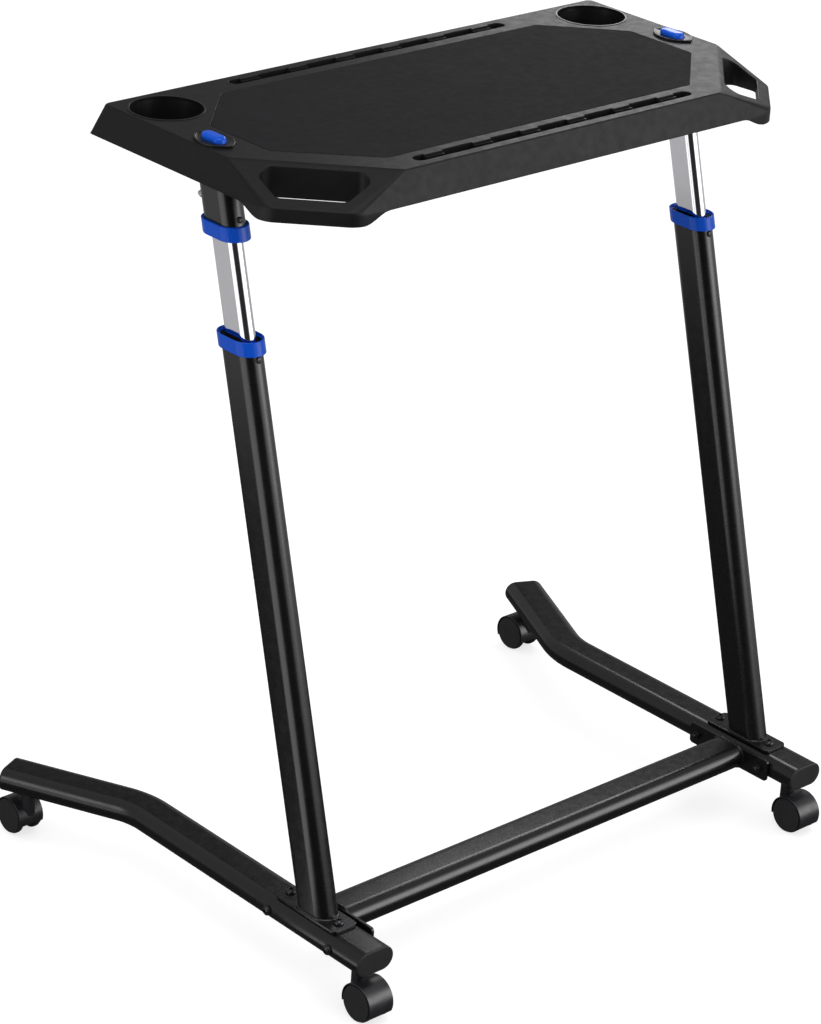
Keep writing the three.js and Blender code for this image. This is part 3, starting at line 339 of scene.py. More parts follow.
hood_plastic = finish("hood_plastic", "201f24", 0.38, grain=700, depth=0.015, specular=1.0)
chrome = finish("chromed_steel", "f0eff4", 0.09, uneven=0.02, metallic=1.0, grain=300, depth=0.003,
                mottle=0.02)
zinc = finish("zinc_steel", "c4c4c8", 0.38, metallic=0.55, grain=900, depth=0.02, mottle=0.12, patches=60)
black_screw = finish("blackened_steel", "4a4a4e", 0.24, metallic=0.8, grain=900, depth=0.02, patches=60)
print(len(bpy.data.materials), "finishes, with the floor's")

# %% [markdown]
# ## Outlines, profiles and skins
# Nearly every piece of this desk is a profile carried round an outline: a collar is a small section carried
# round a flat oval, a caster wheel is one carried round a circle. So an outline is kept as its points with
# the outward direction at each, and growing it is a single sum. A profile is a list of (growth, level)
# pairs whose corners can be rounded first. The two together make a grid of points, and a grid is all that a
# mesh needs.

# %% Outlines that can grow
def rounded(corners, radii, steps=6):
    """(points, directions) of a polygon, anticlockwise, whose corners are arcs. The direction at a corner
    turns from the normal of the side before to the normal of the side after, and the arc lies one radius
    along it."""
    corners = np.asarray(corners, float)
    radii = np.broadcast_to(np.asarray(radii, float), len(corners))
    into = corners - np.roll(corners, 1, 0)
    into /= np.linalg.norm(into, axis=1)[:, None]
    out = np.roll(into, -1, 0)
    turn = np.arctan2(into[:, 0] * out[:, 1] - into[:, 1] * out[:, 0], (into * out).sum(1))
    sign = np.where(turn < 0, -1, 1)
    start = corners - into * (radii * np.tan(np.abs(turn) / 2))[:, None]
    normal = np.stack([into[:, 1], -into[:, 0]], 1)
    centre = start - normal * (radii * sign)[:, None]
    angle = turn[:, None] * np.linspace(0, 1, steps + 1)
    cos, sin = np.cos(angle), np.sin(angle)
    facing = np.stack([normal[:, 0, None] * cos - normal[:, 1, None] * sin,
                       normal[:, 0, None] * sin + normal[:, 1, None] * cos], -1)
    points = centre[:, None] + facing * (radii * sign)[:, None, None]
    return points.reshape(-1, 2), facing.reshape(-1, 2)


def oval(width, length, steps=18):
    """A flat oval with its long way along the second axis: two half circles joined by straight sides."""
    angle = np.linspace(0, np.pi, steps + 1)
    facing = np.stack([np.cos(angle), np.sin(angle)], 1)
    shift = np.array([0, (length - width) / 2])
    points = np.concatenate([facing * width / 2 + shift, -facing * width / 2 - shift])
    return points, np.concatenate([facing, -facing])


def circle(radius=0.0, steps=48):
    """A circle; with no radius it is the axis that a turned profile grows from."""
    angle = np.arange(steps) * 2 * np.pi / steps
    facing = np.stack([np.cos(angle), np.sin(angle)], 1)
    return facing * radius, facing


def eased(profile, radii, steps=4):
    """A closed profile, anticlockwise or not, with its corners rounded."""
    profile = np.asarray(profile, float)
    near, far = profile, np.roll(profile, -1, 0)
    if (near[:, 0] * far[:, 1] - near[:, 1] * far[:, 0]).sum() < 0:
        profile = profile[::-1]
        radii = radii[::-1] if np.ndim(radii) else radii
    return rounded(profile, radii, steps)[0]


print("a flat oval of 33 by 57 mm has", len(oval(33, 57)[0]), "points")

# %% Rings and skins
def carried(outline, profile):
    """Rings (m, n, 3): ring k is the outline grown by profile[k, 0], at level profile[k, 1]."""
    points, facing = outline
    profile = np.asarray(profile, float)
    plan = points[None] + profile[:, 0, None, None] * facing[None]
    level = np.broadcast_to(profile[:, 1, None, None], plan.shape[:2] + (1,))
    return np.concatenate([plan, level], 2)


def skin(rings, closed=True):
    """(points, faces): four-sided faces between each ring and the next. A closed skin joins the last ring
    to the first; an open one gets a flat lid at each end."""
    count, size = rings.shape[:2]
    ring = np.arange(count if closed else count - 1)[:, None]
    step = np.arange(size)[None]
    after, beside = (ring + 1) % count, (step + 1) % size
    corners = (ring * size + step, ring * size + beside, after * size + beside, after * size + step)
    faces = np.stack(np.broadcast_arrays(*corners), -1).reshape(-1, 4).tolist()
    if not closed:
        faces += [list(range(size))[::-1], list(range((count - 1) * size, count * size))]
    return rings.reshape(-1, 3), faces


small_ring = skin(carried(circle(10), [(0, 0), (1, 0), (1, 1)]))
print("a three-sided profile round a circle gives", len(small_ring[1]), "faces")

# %% [markdown]
# A mesh is made from one or more skins and cleaned: the points where a turned profile touches its axis fall
# together, and the faces that collapse there go.

# %% Meshes and their dress
def raw_object(name, shells):
    """An object from one or more skins: doubles merged, collapsed faces dropped, normals turned
    outwards."""
    points, faces, base = [], [], 0
    for shell_points, shell_faces in shells:
        points.append(shell_points)
        faces += [[base + corner for corner in face] for face in shell_faces]
        base += len(shell_points)
    mesh = bpy.data.meshes.new(name)
    mesh.from_pydata((np.concatenate(points) * MM).tolist(), [], faces)
    tidy_mesh(mesh)
    piece = bpy.data.objects.new(name, mesh)
    bpy.context.scene.collection.objects.link(piece)
    return piece


def tidy_mesh(mesh):
    """Points nearer than two thousandths of a millimetre merged, thin faces dissolved, normals outwards."""
    work = bmesh.new()
    work.from_mesh(mesh)
    bmesh.ops.remove_doubles(work, verts=work.verts, dist=2e-6)
    bmesh.ops.dissolve_degenerate(work, edges=work.edges, dist=1e-6)
    bmesh.ops.recalc_face_normals(work, faces=work.faces)
    work.to_mesh(mesh)
    work.free()


def dress(piece, look, body, slot, *nodes, crisp=38):
    """Smooth shading with sharp edges past an angle, flat faces kept flat by weighted normals, then the
    finish, the body it rides on and the CAD nodes that it stands for. The slot is not used."""
    mesh = piece.data
    mesh.polygons.foreach_set("use_smooth", np.ones(len(mesh.polygons), bool))
    mesh.set_sharp_from_angle(angle=math.radians(crisp))
    weigh = piece.modifiers.new("flat_faces_flat", "WEIGHTED_NORMAL")
    weigh.keep_sharp = True
    mesh.materials.append(look)
    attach(piece, body)
    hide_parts(*nodes)
    print(piece.name, len(mesh.polygons), "faces")
    return piece


def make(name, shells, look, body, slot, *nodes, crisp=38):
    """A dressed piece straight from its skins."""
    return dress(raw_object(name, shells), look, body, slot, *nodes, crisp=crisp)


print("helpers for meshes ready")

# %% [markdown]
# ## Sizes shared with the solids
# The legs lean by fifteen degrees, and every section of a leg is measured on a level cut. So a leg piece is
# made upright and then slid sideways by its level, which keeps its ends level, as they are on the real
# desk.

# %% Sizes of the frame
gap = 0.3
leg_x, leg_foot_y, foot_top, lean = 375.5, -209.0, 96.4, math.radians(15)
tube_width, tube_length, tube_wall = 33.0, 57.0, 2.0
inner_width, inner_length, inner_wall = 21.0, 45.0, 1.5
foot_width, foot_height, foot_wall = 56.0, 31.0, 2.0
foot_middle = foot_top - foot_height / 2
foot_bottom = foot_top - foot_height
sides = (("left", -1), ("right", 1))
ends = (("front", -1), ("back", 1))


def axis_y(level):
    """Where a leg's axis crosses a level: its foot's place plus the rise times the tangent of the lean."""
    return leg_foot_y + (level - foot_top) * math.tan(lean)


def leaning(rings, side):
    """Each point moves to the leg's place: x by the leg's distance, y by the height of its own level."""
    moved = rings.copy()
    moved[..., 0] += side * leg_x
    moved[..., 1] += axis_y(rings[..., 2])
    return moved


def shifted(rings, x=0.0, y=0.0, z=0.0):
    """The same rings moved by x, y and z."""
    return rings + np.array([x, y, z])


print("the legs' axes meet the desk at y =", round(axis_y(1003.0), 1), "mm")

# %% [markdown]
# ## The tabletop
# One injection moulding: a flat top, a drafted skirt all round, and two front corners folded down into
# handles. The skirt's outline is a polygon whose cut corners spread faster than the rest on the way down,
# so the handles are part of the same surface. Its lower edge dips in an S towards each handle. The surface
# is a function of two numbers: the place along the outline and the place down the profile. The openings are
# then cut with tools whose mouths flare, so that each cut edge comes out rounded, as a moulded edge is.

# %% Outline of the desk at any level
desk_height, skirt_drop, handle_drop, rim_height = 1003.0, 38.0, 33.0, 17.0
top_half, top_back, top_front = 400.0, 211.0, 163.0
spread_side, spread_back, spread_front = 12.5, 13.0, 14.5
crease_reach, handle_run = 297.0, 67.0
top_wall, skirt_wall, edge_round = 4.0, 3.0, 1.6
skirt_bottom = desk_height - skirt_drop
diagonal = math.sqrt(0.5)


def straights_filled(points, corners, extra):
    """Points laid evenly on each straight between two rounded corners, so that a long side can bend."""
    arcs = points.reshape(corners, -1, points.shape[-1])
    start, end = arcs[:, -1], np.roll(arcs[:, 0], -1, 0)
    share = (np.arange(1, extra + 1) / (extra + 1))[None, :, None]
    fill_points = start[:, None] * (1 - share) + end[:, None] * share
    return np.concatenate([arcs, fill_points], 1).reshape(-1, points.shape[-1])


def desk_outline(down, inset, cut_inset):
    """The outline at a depth under the top: sides and back move out by their spread times down / skirt
    drop, and the cut corners by the handle's run times down / handle drop. Corner radii grow from 5 to 28
    at the cuts."""
    share, cut_share = min(down / skirt_drop, 1), min(down / handle_drop, 1)
    x = top_half + spread_side * share - inset
    back = top_back + spread_back * share - inset
    front = top_front + spread_front * share - inset
    cut = (crease_reach + handle_run * cut_share - cut_inset) / diagonal
    corners = [(x, x - cut), (x, back), (-x, back), (-x, x - cut),
               (front - cut, -front), (cut - front, -front)]
    at_cut = 5 + 23 * cut_share
    radii = [at_cut, 7, 7, at_cut, at_cut, at_cut]
    return straights_filled(rounded(corners, radii, 8)[0], 6, 90)


dip_from_x, dip_from_y, dip_run = 290.0, -54.0, 37.0


def dip(plan):
    """0 where the skirt's edge is level and 1 at the handles: a half cosine from y -54 to -91 along the
    sides, and from 290 to 327 either side of the middle along the front."""
    along_side = np.clip((dip_from_y - plan[:, 1]) / dip_run, 0, 1)
    along_front = np.clip((np.abs(plan[:, 0]) - dip_from_x) / dip_run, 0, 1)
    return (1 - np.cos(np.pi * np.minimum(along_side, along_front))) / 2


print("outline of", len(desk_outline(0, 0, 0)), "points")

# %% [markdown]
# The shell starts at the top with a quarter round edge, goes down the skirt, turns under at its foot and
# comes up again on the inside, one wall thickness away. The lid that closes the last ring is the underside
# of the top.

# %% The shell
def desk_shell():
    """Ring after ring of the outline, each at its depth with its inset. Level = top height less depth; at
    the foot the level falls further by the dip times the height that the handles' rims have beyond the
    skirt."""
    rings = []
    edge_dip = dip(desk_outline(skirt_drop, 0, 0))

    def ring(down, inset, cut_inset, level=None):
        """The outline at a depth with its insets, at that depth's level or at one of its own."""
        plan = desk_outline(down, inset, cut_inset)
        height = desk_height - down if level is None else level
        rings.append(np.column_stack([plan, np.broadcast_to(height, len(plan))]))

    for angle in np.linspace(0, np.pi / 2, 5):
        down = edge_round * (1 - math.cos(angle))
        pull = edge_round * (1 - math.sin(angle))
        ring(down, pull, pull)
    for down in (9, 17, 25):
        ring(down, 0, 0)
    # The handles' faces meet their rims here, in an edge softened by pulling it in a little.
    for past, pull in ((-1.1, 0), (-0.4, 0.1), (0.1, 0.42), (0.7, 0.12), (1.5, 0)):
        ring(handle_drop + past, 0, pull)
    foot = skirt_bottom - (handle_drop + rim_height - skirt_drop) * edge_dip
    ring(skirt_drop, 0, 0, skirt_bottom + 0.7)
    ring(skirt_drop, 0, 0, foot + 0.6)
    ring(skirt_drop, 0.25, 0.25, foot + 0.2)
    ring(skirt_drop, 0.7, 0.7, foot)
    ring(skirt_drop, skirt_wall - 0.6, skirt_wall - 0.6, foot)
    ring(skirt_drop, skirt_wall, skirt_wall, foot + 0.6)
    facet_inset = skirt_wall / math.sin(math.atan(handle_drop / handle_run))
    ring(skirt_drop, skirt_wall, facet_inset, skirt_bottom + 0.8)
    ring(handle_drop, skirt_wall, facet_inset)
    ring(top_wall, skirt_wall, facet_inset)
    return skin(np.array(rings), closed=False)


print("shell of", len(desk_shell()[1]), "faces")

# %% [markdown]
# The openings are cut by booleans. A tool for a handle opening follows the handle's slope, so the depth of
# its mouth is measured from the sloping facet. The wall that lines the opening is joined first and cut with
# it.

# %% Handle openings
grip_near, grip_wide, grip_far = 7.5, 20.0, 51.0
grip_near_half, grip_wide_half, grip_far_half, grip_radius = 53.0, 66.0, 40.0, 11.0
grip_mouth, grip_wall_thickness, grip_wall_foot, below_desk = 1.5, 3.0, 962.0, 940.0


def grip_outline(side):
    """Six rounded corners, given by their distance out from the crease and their place along it."""
    middle = (top_half - top_front) * diagonal
    corners = []
    stations = ((grip_near, -grip_near_half), (grip_wide, -grip_wide_half), (grip_far, -grip_far_half),
                (grip_far, grip_far_half), (grip_wide, grip_wide_half), (grip_near, grip_near_half))
    for distance, half in stations:
        reach, place = crease_reach + distance, middle + half
        corners.append((side * (reach + place) * diagonal, (place - reach) * diagonal))
    return rounded(corners if side > 0 else corners[::-1], grip_radius, 10)


def facet_level(plan):
    """Height of the sloping handle above a plan point: the top's height less the run from the crease times
    the slope."""
    run = (np.abs(plan[..., 0]) - plan[..., 1]) * diagonal - crease_reach
    return desk_height - run * handle_drop / handle_run


def flare(radius, steps=6):
    """(growth, depth) down a rounded mouth: growth r(1 - sin a), depth r(1 - cos a)."""
    angle = np.linspace(math.radians(6), np.pi / 2, steps)
    return np.stack([radius * (1 - np.sin(angle)), radius * (1 - np.cos(angle))], 1)


def grip_tool(side):
    """The opening's outline, from a ring 6 above the facet through the flared mouth to a ring below the
    desk."""
    points, facing = grip_outline(side)
    mouth = []
    for growth, depth in flare(grip_mouth):
        plan = points + facing * growth
        mouth.append(np.column_stack([plan, facet_level(plan) - depth]))
    above = np.column_stack([points + facing * grip_mouth, facet_level(mouth[0][:, :2]) + 6])
    below = np.column_stack([points, np.full(len(points), below_desk)])
    return skin(np.array([above, *mouth, below]), closed=False)


def grip_wall(side):
    """The wall that lines the opening: the outline grown by its thickness, up to just under the facet."""
    points, facing = grip_outline(side)
    plan = points + facing * grip_wall_thickness
    return skin(np.array([np.column_stack([plan, np.full(len(plan), grip_wall_foot)]),
                          np.column_stack([plan, facet_level(plan) - 1.6])]), closed=False)


print("handle opening of", len(grip_outline(1)[0]), "points")

# %% [markdown]
# The slots, the pad's recess and the cup holes go straight down, so one tool serves them all: an outline
# carried down a profile that starts wide. Devices stand in the slots against castellated ledges. These are
# left standing by two cuts, a shallow one with small steps and a deep one that steps in further at each
# ledge.

# %% Straight tools, slots and the pad's outline
def straight_tool(outline, top, bottom, mouth):
    """A tool that cuts straight down from top, with a mouth flared by mouth."""
    flared = flare(mouth)
    profile = [(flared[0, 0], top + 4), *[(growth, top - depth) for growth, depth in flared], (0, bottom)]
    return skin(carried(outline, profile), closed=False)


slot_half, slot_width, slot_depth = 225.0, 17.0, 12.0
slot_places = (-141.5, 191.0)
ledge_length, ledge_pitch, ledge_reach, ledge_below, ledge_count = 29.0, 76.0, 7.2, 2.5, 6
tab_reach = 3.2


def lengthways(outline):
    """The same outline with its long way along x."""
    points, facing = outline
    return points[:, ::-1] * (1, -1), facing[:, ::-1] * (1, -1)


def moved_outline(outline, x, y):
    """The same outline somewhere else."""
    return outline[0] + np.array([x, y]), outline[1]


def castle_outline(y, step):
    """A slot's outline with round ends, whose far side steps in by a given reach at each ledge."""
    half, reach = slot_half, slot_width / 2
    corners = [(-half, y - reach), (half, y - reach), (half, y + reach)]
    for index in range(ledge_count - 1, -1, -1):
        x = (index - (ledge_count - 1) / 2) * ledge_pitch
        corners += [(x + ledge_length / 2, y + reach), (x + ledge_length / 2, y + reach - step),
                    (x - ledge_length / 2, y + reach - step), (x - ledge_length / 2, y + reach)]
    corners.append((-half, y + reach))
    end = slot_width / 2 - 0.1
    return rounded(corners, [end, end, end] + [0.8] * (4 * ledge_count) + [end], 6)


pad_half, pad_back, pad_front = 345.0, 165.3, -120.6
pad_corners = [(247, pad_front), (pad_half, -28), (pad_half, 79), (259, pad_back), (-259, pad_back),
               (-pad_half, 79), (-pad_half, -28), (-247, pad_front)]
pad_outline = rounded(pad_corners, 14, 8)
cup_x, cup_y, cup_radius = 349.0, 156.0, 44.0
rib_wall, rib_half, rib_front, rib_back = 2.5, 312.0, -118.0, 172.0


def slab(half_x, half_y, bottom, top, x, y):
    """A block with rounded upright edges, from its half sizes, its levels and its middle."""
    outline = rounded([(x + half_x, y - half_y), (x + half_x, y + half_y), (x - half_x, y + half_y),
                       (x - half_x, y - half_y)], 0.4, 2)
    return skin(carried(outline, [(0, bottom), (0, top)]), closed=False)


print("pad outline of", len(pad_outline[0]), "points")


# %% One boolean after another
def combine(piece, tools, operation):
    """Applies one exact boolean for each tool, then removes the tools."""
    for index, tool in enumerate(tools):
        helper = raw_object(f"tool_{index}", [tool])
        step = piece.modifiers.new("step", "BOOLEAN")
        step.operation, step.solver, step.object = operation, "EXACT", helper
        bpy.context.view_layer.update()
        result = bpy.data.meshes.new_from_object(piece.evaluated_get(bpy.context.evaluated_depsgraph_get()))
        piece.modifiers.clear()
        old, piece.data = piece.data, result
        bpy.data.meshes.remove(old)
        bpy.data.objects.remove(helper)
    return piece


# %% [markdown]
# First everything that belongs to the moulding is joined to the shell: the walls of the handle openings,
# the floors of the slots and the ribs under the top. Then all openings are cut in one go.

# %% The tabletop made and cut
tabletop = raw_object("desk_top", [desk_shell()])
under_top = desk_height - top_wall
joins = [grip_wall(side) for side in (-1, 1)]
joins += [slab(slot_half + 3, slot_width / 2 + 3, desk_height - slot_depth - 3, under_top + 2, 0, y)
          for y in slot_places]
joins += [slab(rib_wall / 2, (rib_back - rib_front) / 2, under_top - 20, under_top + 1.2,
               -rib_half + 2 * rib_half * index / 5, (rib_back + rib_front) / 2) for index in range(6)]
joins += [slab(rib_half + 4, rib_wall / 2, under_top - 17, under_top + 1.1,
               0, rib_front + (rib_back - rib_front) * (index + 1) / 4) for index in range(3)]
combine(tabletop, joins, "UNION")
cuts = [grip_tool(side) for side in (-1, 1)]
cup_hole = circle(cup_radius + 1.6, 96)
cuts += [straight_tool(moved_outline(cup_hole, side * cup_x, cup_y), desk_height, below_desk, 0.6)
         for side in (-1, 1)]
seat_profile = [(0, under_top - 8), (0, desk_height + 4)]
cuts += [skin(leaning(carried(oval(23.2, 41.2), seat_profile), side), closed=False) for side in (-1, 1)]
for y in slot_places:
    cuts.append(straight_tool(castle_outline(y, tab_reach), desk_height, desk_height - ledge_below, 0.7))
    deep = [(0, desk_height - slot_depth), (0, desk_height - ledge_below + 0.4)]
    cuts.append(skin(carried(castle_outline(y, ledge_reach), deep), closed=False))
cuts.append(straight_tool((pad_outline[0] + pad_outline[1] * gap, pad_outline[1]), desk_height,
                          desk_height - 2.2, 0.5))
combine(tabletop, cuts, "DIFFERENCE")
tidy_mesh(tabletop.data)
dress(tabletop, moulding, "desk", "desk_moulding", "tabletop", crisp=32)

# %% [markdown]
# ## The pad
# A sheet of soft black rubber lies in a shallow recess, a hair proud of the top. Its edge is die cut and
# then rounds over by use, so the profile has a small radius at the top and a sharp foot.

# %% The pad let into the top
pad_top, pad_thickness = desk_height + 0.3, 2.2
pad_profile = [(-0.2, pad_top - pad_thickness), (0, pad_top - pad_thickness + 0.2), (0, pad_top - 0.7),
               (-0.12, pad_top - 0.3), (-0.45, pad_top - 0.07), (-0.9, pad_top)]
pad_skin = skin(carried(pad_outline, pad_profile), closed=False)
make("pad", [pad_skin], pad_rubber, "desk", "pad", "non_slip_pad")

# %% [markdown]
# ## Cup holder liners
# Each liner is a thin tapered cup that hangs by its rim. One closed profile, inside and outside, is turned
# about its axis, with a radius in every corner.

# %% The liners
def cup_liner():
    """Turned rings: up the outside, over the rim that rests on the desk, down the inside and across the
    floor."""
    seat = desk_height + gap
    rim, inside_floor, outside_floor = seat + 0.4, desk_height - 46, desk_height - 46 - 1.3
    profile = [(0, outside_floor), (40.5, outside_floor), (45.3, desk_height - 4), (45.3, seat), (46.4, seat),
               (46.4, rim), (44, rim), (44, rim - 4), (39.6, inside_floor), (0, inside_floor)]
    radii = [0, 3.5, 1, 0.15, 0.12, 0.25, 0.35, 1, 2.5, 0]
    return carried(circle(0, 96), eased(profile, radii))


for hand, side in sides:
    rings = shifted(cup_liner(), side * cup_x, cup_y)
    make(f"{hand}_cup", [skin(rings)], liner_plastic, "desk", "cup_plastic", f"{hand}_cup_liner")

# %% [markdown]
# ## Release buttons and their bezels
# A bezel is a pointed oval, a lens shape, with a dished face and an oblong opening. Both outlines are taken
# at the same angles, so a ring part way between them is a weighted mean of the two. The button is an oblong
# cap whose sides draw in and roll over into a slight crown.

# %% Lens and opening
bezel_half_length, bezel_half_width, bezel_height = 32.0, 21.0, 2.6
button_width, button_length, button_top = 18.0, 36.0, 1010.5


def lens_outline(steps=40):
    """Two arcs that meet in points: radius R = w + s with sag s = (l^2 - w^2) / 2w for half length l and
    half width w."""
    sag = (bezel_half_length ** 2 - bezel_half_width ** 2) / (2 * bezel_half_width)
    radius = bezel_half_width + sag
    sweep = math.asin(bezel_half_length / radius)
    angle = np.linspace(-sweep, sweep, steps, endpoint=False)
    arc = np.stack([radius * np.cos(angle) - sag, radius * np.sin(angle)], 1)
    return np.concatenate([arc, -arc])


def even_oval(width, length, aim):
    """The point of a flat oval in the direction of each point of aim, found from its distance function: a
    ray meets the straight side at x = w/2 or the end circle further out."""
    facing = aim / np.linalg.norm(aim, axis=1)[:, None]
    half, shift = width / 2, (length - width) / 2
    at_side = half / np.maximum(np.abs(facing[:, 0]), 1e-9)
    rise = np.abs(facing[:, 1]) * shift
    at_end = rise + np.sqrt(np.maximum(rise ** 2 - shift ** 2 + half ** 2, 0))
    reach = np.where(at_side * np.abs(facing[:, 1]) <= shift, at_side, at_end)
    return facing * reach[:, None]


def bezel_rings(side):
    """Each ring is lens (1 - share) + opening share at its level. The face and its dish are upright; the
    walls of the opening and the spigot under it lean with the leg."""
    lens_points = lens_outline()
    opening = even_oval(button_width + 2 * gap, button_length + 2 * gap, lens_points)
    bottom = desk_height + gap
    top = bottom + bezel_height
    spigot = even_oval(button_width + 2 * gap + 4, button_length + 2 * gap + 4, lens_points)
    shares = [(0.0, bottom), (0.0, top - 0.9), (0.025, top - 0.35), (0.07, top - 0.05), (0.13, top - 0.02),
              (0.22, top - 0.35), (0.4, top - 1.1), (0.62, top - 1.5), (0.85, top - 1.35), (0.96, top - 1.3),
              (1.0, top - 1.7), (1.0, desk_height - 12)]
    rings = [np.column_stack([lens_points * (1 - share) + opening * share, np.full(len(opening), level)])
             for share, level in shares]
    rings += [np.column_stack([spigot, np.full(len(spigot), level)]) for level in (desk_height - 12, bottom)]
    upright = shifted(np.array(rings[:10]), side * leg_x, axis_y(desk_height))
    return np.concatenate([upright, leaning(np.array(rings[10:]), side)])


def button_rings(side):
    """An oblong carried up a profile that draws in towards a slightly hollow top."""
    outline = oval(button_width, button_length, 20)
    bottom = desk_height - 6
    drawn_in = [(0, 4.6), (-0.35, 2.6), (-0.9, 1.4), (-1.8, 0.55), (-3.2, 0.12), (-5.4, 0), (-8.2, 0.02)]
    profile = [(-0.5, bottom), (0, bottom + 0.5), *[(growth, button_top - drop) for growth, drop in drawn_in]]
    return leaning(carried(outline, profile), side)


for hand, side in sides:
    make(f"{hand}_bezel", [skin(bezel_rings(side))], satin_plastic, "desk", "satin_plastic",
         f"{hand}_button_bezel")
    make(f"{hand}_button", [skin(button_rings(side), closed=False)], blue_plastic, f"{hand}_release",
         "blue_plastic", f"{hand}_release_button")

# %% [markdown]
# ## The telescopic legs
# Each leg is a black outer sleeve above, a chrome inner tube, and a black outer tube below, all flat ovals.
# A tube is a closed profile: up the outside, over the end and down the inside. Blue collars clasp the two
# outer tubes. Each is a thin band with a recess, and in the recess one sees the black bush that guides the
# chrome tube. Band and bush are two pieces here, because they are two plastics.

# %% Tubes and collars
collar_proud, collar_height, collar_lip, collar_shoulder, collar_lip_wall = 4.0, 17.0, 3.5, 2.7, 1.6
upper_collar, lower_collar = 906.0, 776.0
sleeve_bottom = upper_collar - collar_height / 2 + collar_lip + collar_shoulder + gap
lower_top = lower_collar + collar_height / 2 - collar_lip - collar_shoulder - gap
tube_outline = oval(tube_width, tube_length)
inner_outline = oval(inner_width, inner_length)
sleeve_top, chrome_bottom, chrome_top = 994.4, 455.0, 962.0
upper_screw, lower_screw, sleeve_nut = 921.6, 762.4, 936.0
spigot_length = 21.5


def tube_skin(outline, wall, bottom, top, side):
    """A tube's wall as a profile, corners rounded by 0.5, carried round the outline and leaned."""
    profile = eased([(0, bottom), (0, top), (-wall, top), (-wall, bottom)], 0.5, 3)
    return skin(leaning(carried(outline, profile), side))


def collar_skin(level, hand, side):
    """The blue band's section goes up the outside, over the thin lip, down into the recess, across to the
    bush and back under the tube's end."""
    lip, foot = level + hand * collar_height / 2, level - hand * collar_height / 2
    shoulder = lip - hand * collar_lip
    inside = collar_proud - collar_lip_wall
    profile = [(collar_proud, foot), (collar_proud, lip), (inside, lip), (inside, shoulder), (gap, shoulder),
               (gap, foot)]
    radii = [0.9, 0.7, 0.5, 0.3, 0.2, 0.5]
    return skin(leaning(carried(tube_outline, eased(profile, radii)), side))


def bush_skin(level, hand, side):
    """The black bush between the outer tube and the chrome one: a flange over the tube's end and a long
    spigot."""
    shoulder = level + hand * (collar_height / 2 - collar_lip)
    seat = shoulder - hand * collar_shoulder
    foot = seat - hand * spigot_length
    bore = (inner_width - tube_width) / 2 + gap
    spigot = -tube_wall - gap
    profile = [(gap, seat), (gap, shoulder), (bore, shoulder), (bore, foot), (spigot, foot), (spigot, seat)]
    return skin(leaning(carried(tube_outline, eased(profile, [0.1, 0.3, 0.4, 0.3, 0.3, 0.2])), side))


print("sleeve from", round(sleeve_bottom, 1), "and lower tube to", round(lower_top, 1), "mm")

# %% [markdown]
# The lower tube is welded to a base plate. A weld bead is a row of overlapping drops, so it is a round
# section carried round the foot of the tube, whose radius swells and shrinks along the way.

# %% Base plate and weld bead
def weld_bead(points, facing, level, radius, pitch, lean_side=None):
    """A ring of drops: at arc length s the section has radius r(1 + 0.12 |sin(pi s / pitch)|)."""
    steps = np.linalg.norm(np.roll(points, -1, 0) - points, axis=1)
    length = np.concatenate([[0], np.cumsum(steps)[:-1]])
    total = steps.sum()
    drops = np.round(total / pitch)
    swell = radius * (1 + 0.12 * np.abs(np.sin(np.pi * length * drops / total)))
    angle = np.arange(10) * 2 * np.pi / 10
    rings = np.zeros((10, len(points), 3))
    rings[..., :2] = points[None] + facing[None] * (np.cos(angle)[:, None] * swell)[..., None]
    rings[..., 2] = level + np.sin(angle)[:, None] * swell
    return skin(leaning(rings, lean_side) if lean_side else rings)


def finely(outline, corners, extra):
    """The outline with points on its straights, and its directions filled in the same way."""
    return straights_filled(outline[0], corners, extra), straights_filled(outline[1], corners, extra)


plate_width, plate_length, plate_thickness, plate_y = 38.0, 111.0, 4.0, -204.0
plate_bottom = foot_top + gap


def plate_skin(side):
    """A rectangle with round corners carried up a profile whose top edge is softened."""
    half_x, half_y = plate_width / 2, plate_length / 2
    outline = rounded([(half_x, -half_y), (half_x, half_y), (-half_x, half_y), (-half_x, -half_y)], 6, 6)
    profile = [(-0.4, plate_bottom), (0, plate_bottom + 0.4), (0, plate_bottom + plate_thickness - 0.8),
               (-0.25, plate_bottom + plate_thickness - 0.25), (-0.8, plate_bottom + plate_thickness)]
    return skin(shifted(carried(outline, profile), side * leg_x, plate_y), closed=False)


print("base plate from", plate_bottom, "to", plate_bottom + plate_thickness, "mm")

# %% The leg pieces
for hand, side in sides:
    sleeve = tube_skin(tube_outline, tube_wall, sleeve_bottom, sleeve_top, side)
    make(f"{hand}_sleeve", [sleeve], powder_coat, "desk", "powder_coat", f"{hand}_upper_sleeve")
    chrome_tube = tube_skin(inner_outline, inner_wall, chrome_bottom, chrome_top, side)
    make(f"{hand}_chrome_tube", [chrome_tube], chrome, "desk", "chrome_tube", f"{hand}_inner_tube")
    for word, level, turn, body in (("upper", upper_collar, -1, "desk"), ("lower", lower_collar, 1, "base")):
        make(f"{hand}_{word}_band", [collar_skin(level, turn, side)], blue_plastic, body, "blue_plastic",
             f"{hand}_{word}_collar")
        make(f"{hand}_{word}_bush", [bush_skin(level, turn, side)], bush_plastic, body, "satin_plastic",
             f"{hand}_{word}_collar")
    plate_top = plate_bottom + plate_thickness
    bead = weld_bead(*finely(tube_outline, 2, 24), plate_top + 0.1, 1.8, 5.0, side)
    outer_tube = tube_skin(tube_outline, tube_wall, plate_top - gap, lower_top, side)
    make(f"{hand}_outer_tube", [outer_tube, plate_skin(side), bead], powder_coat, "base", "powder_coat",
         f"{hand}_lower_tube")

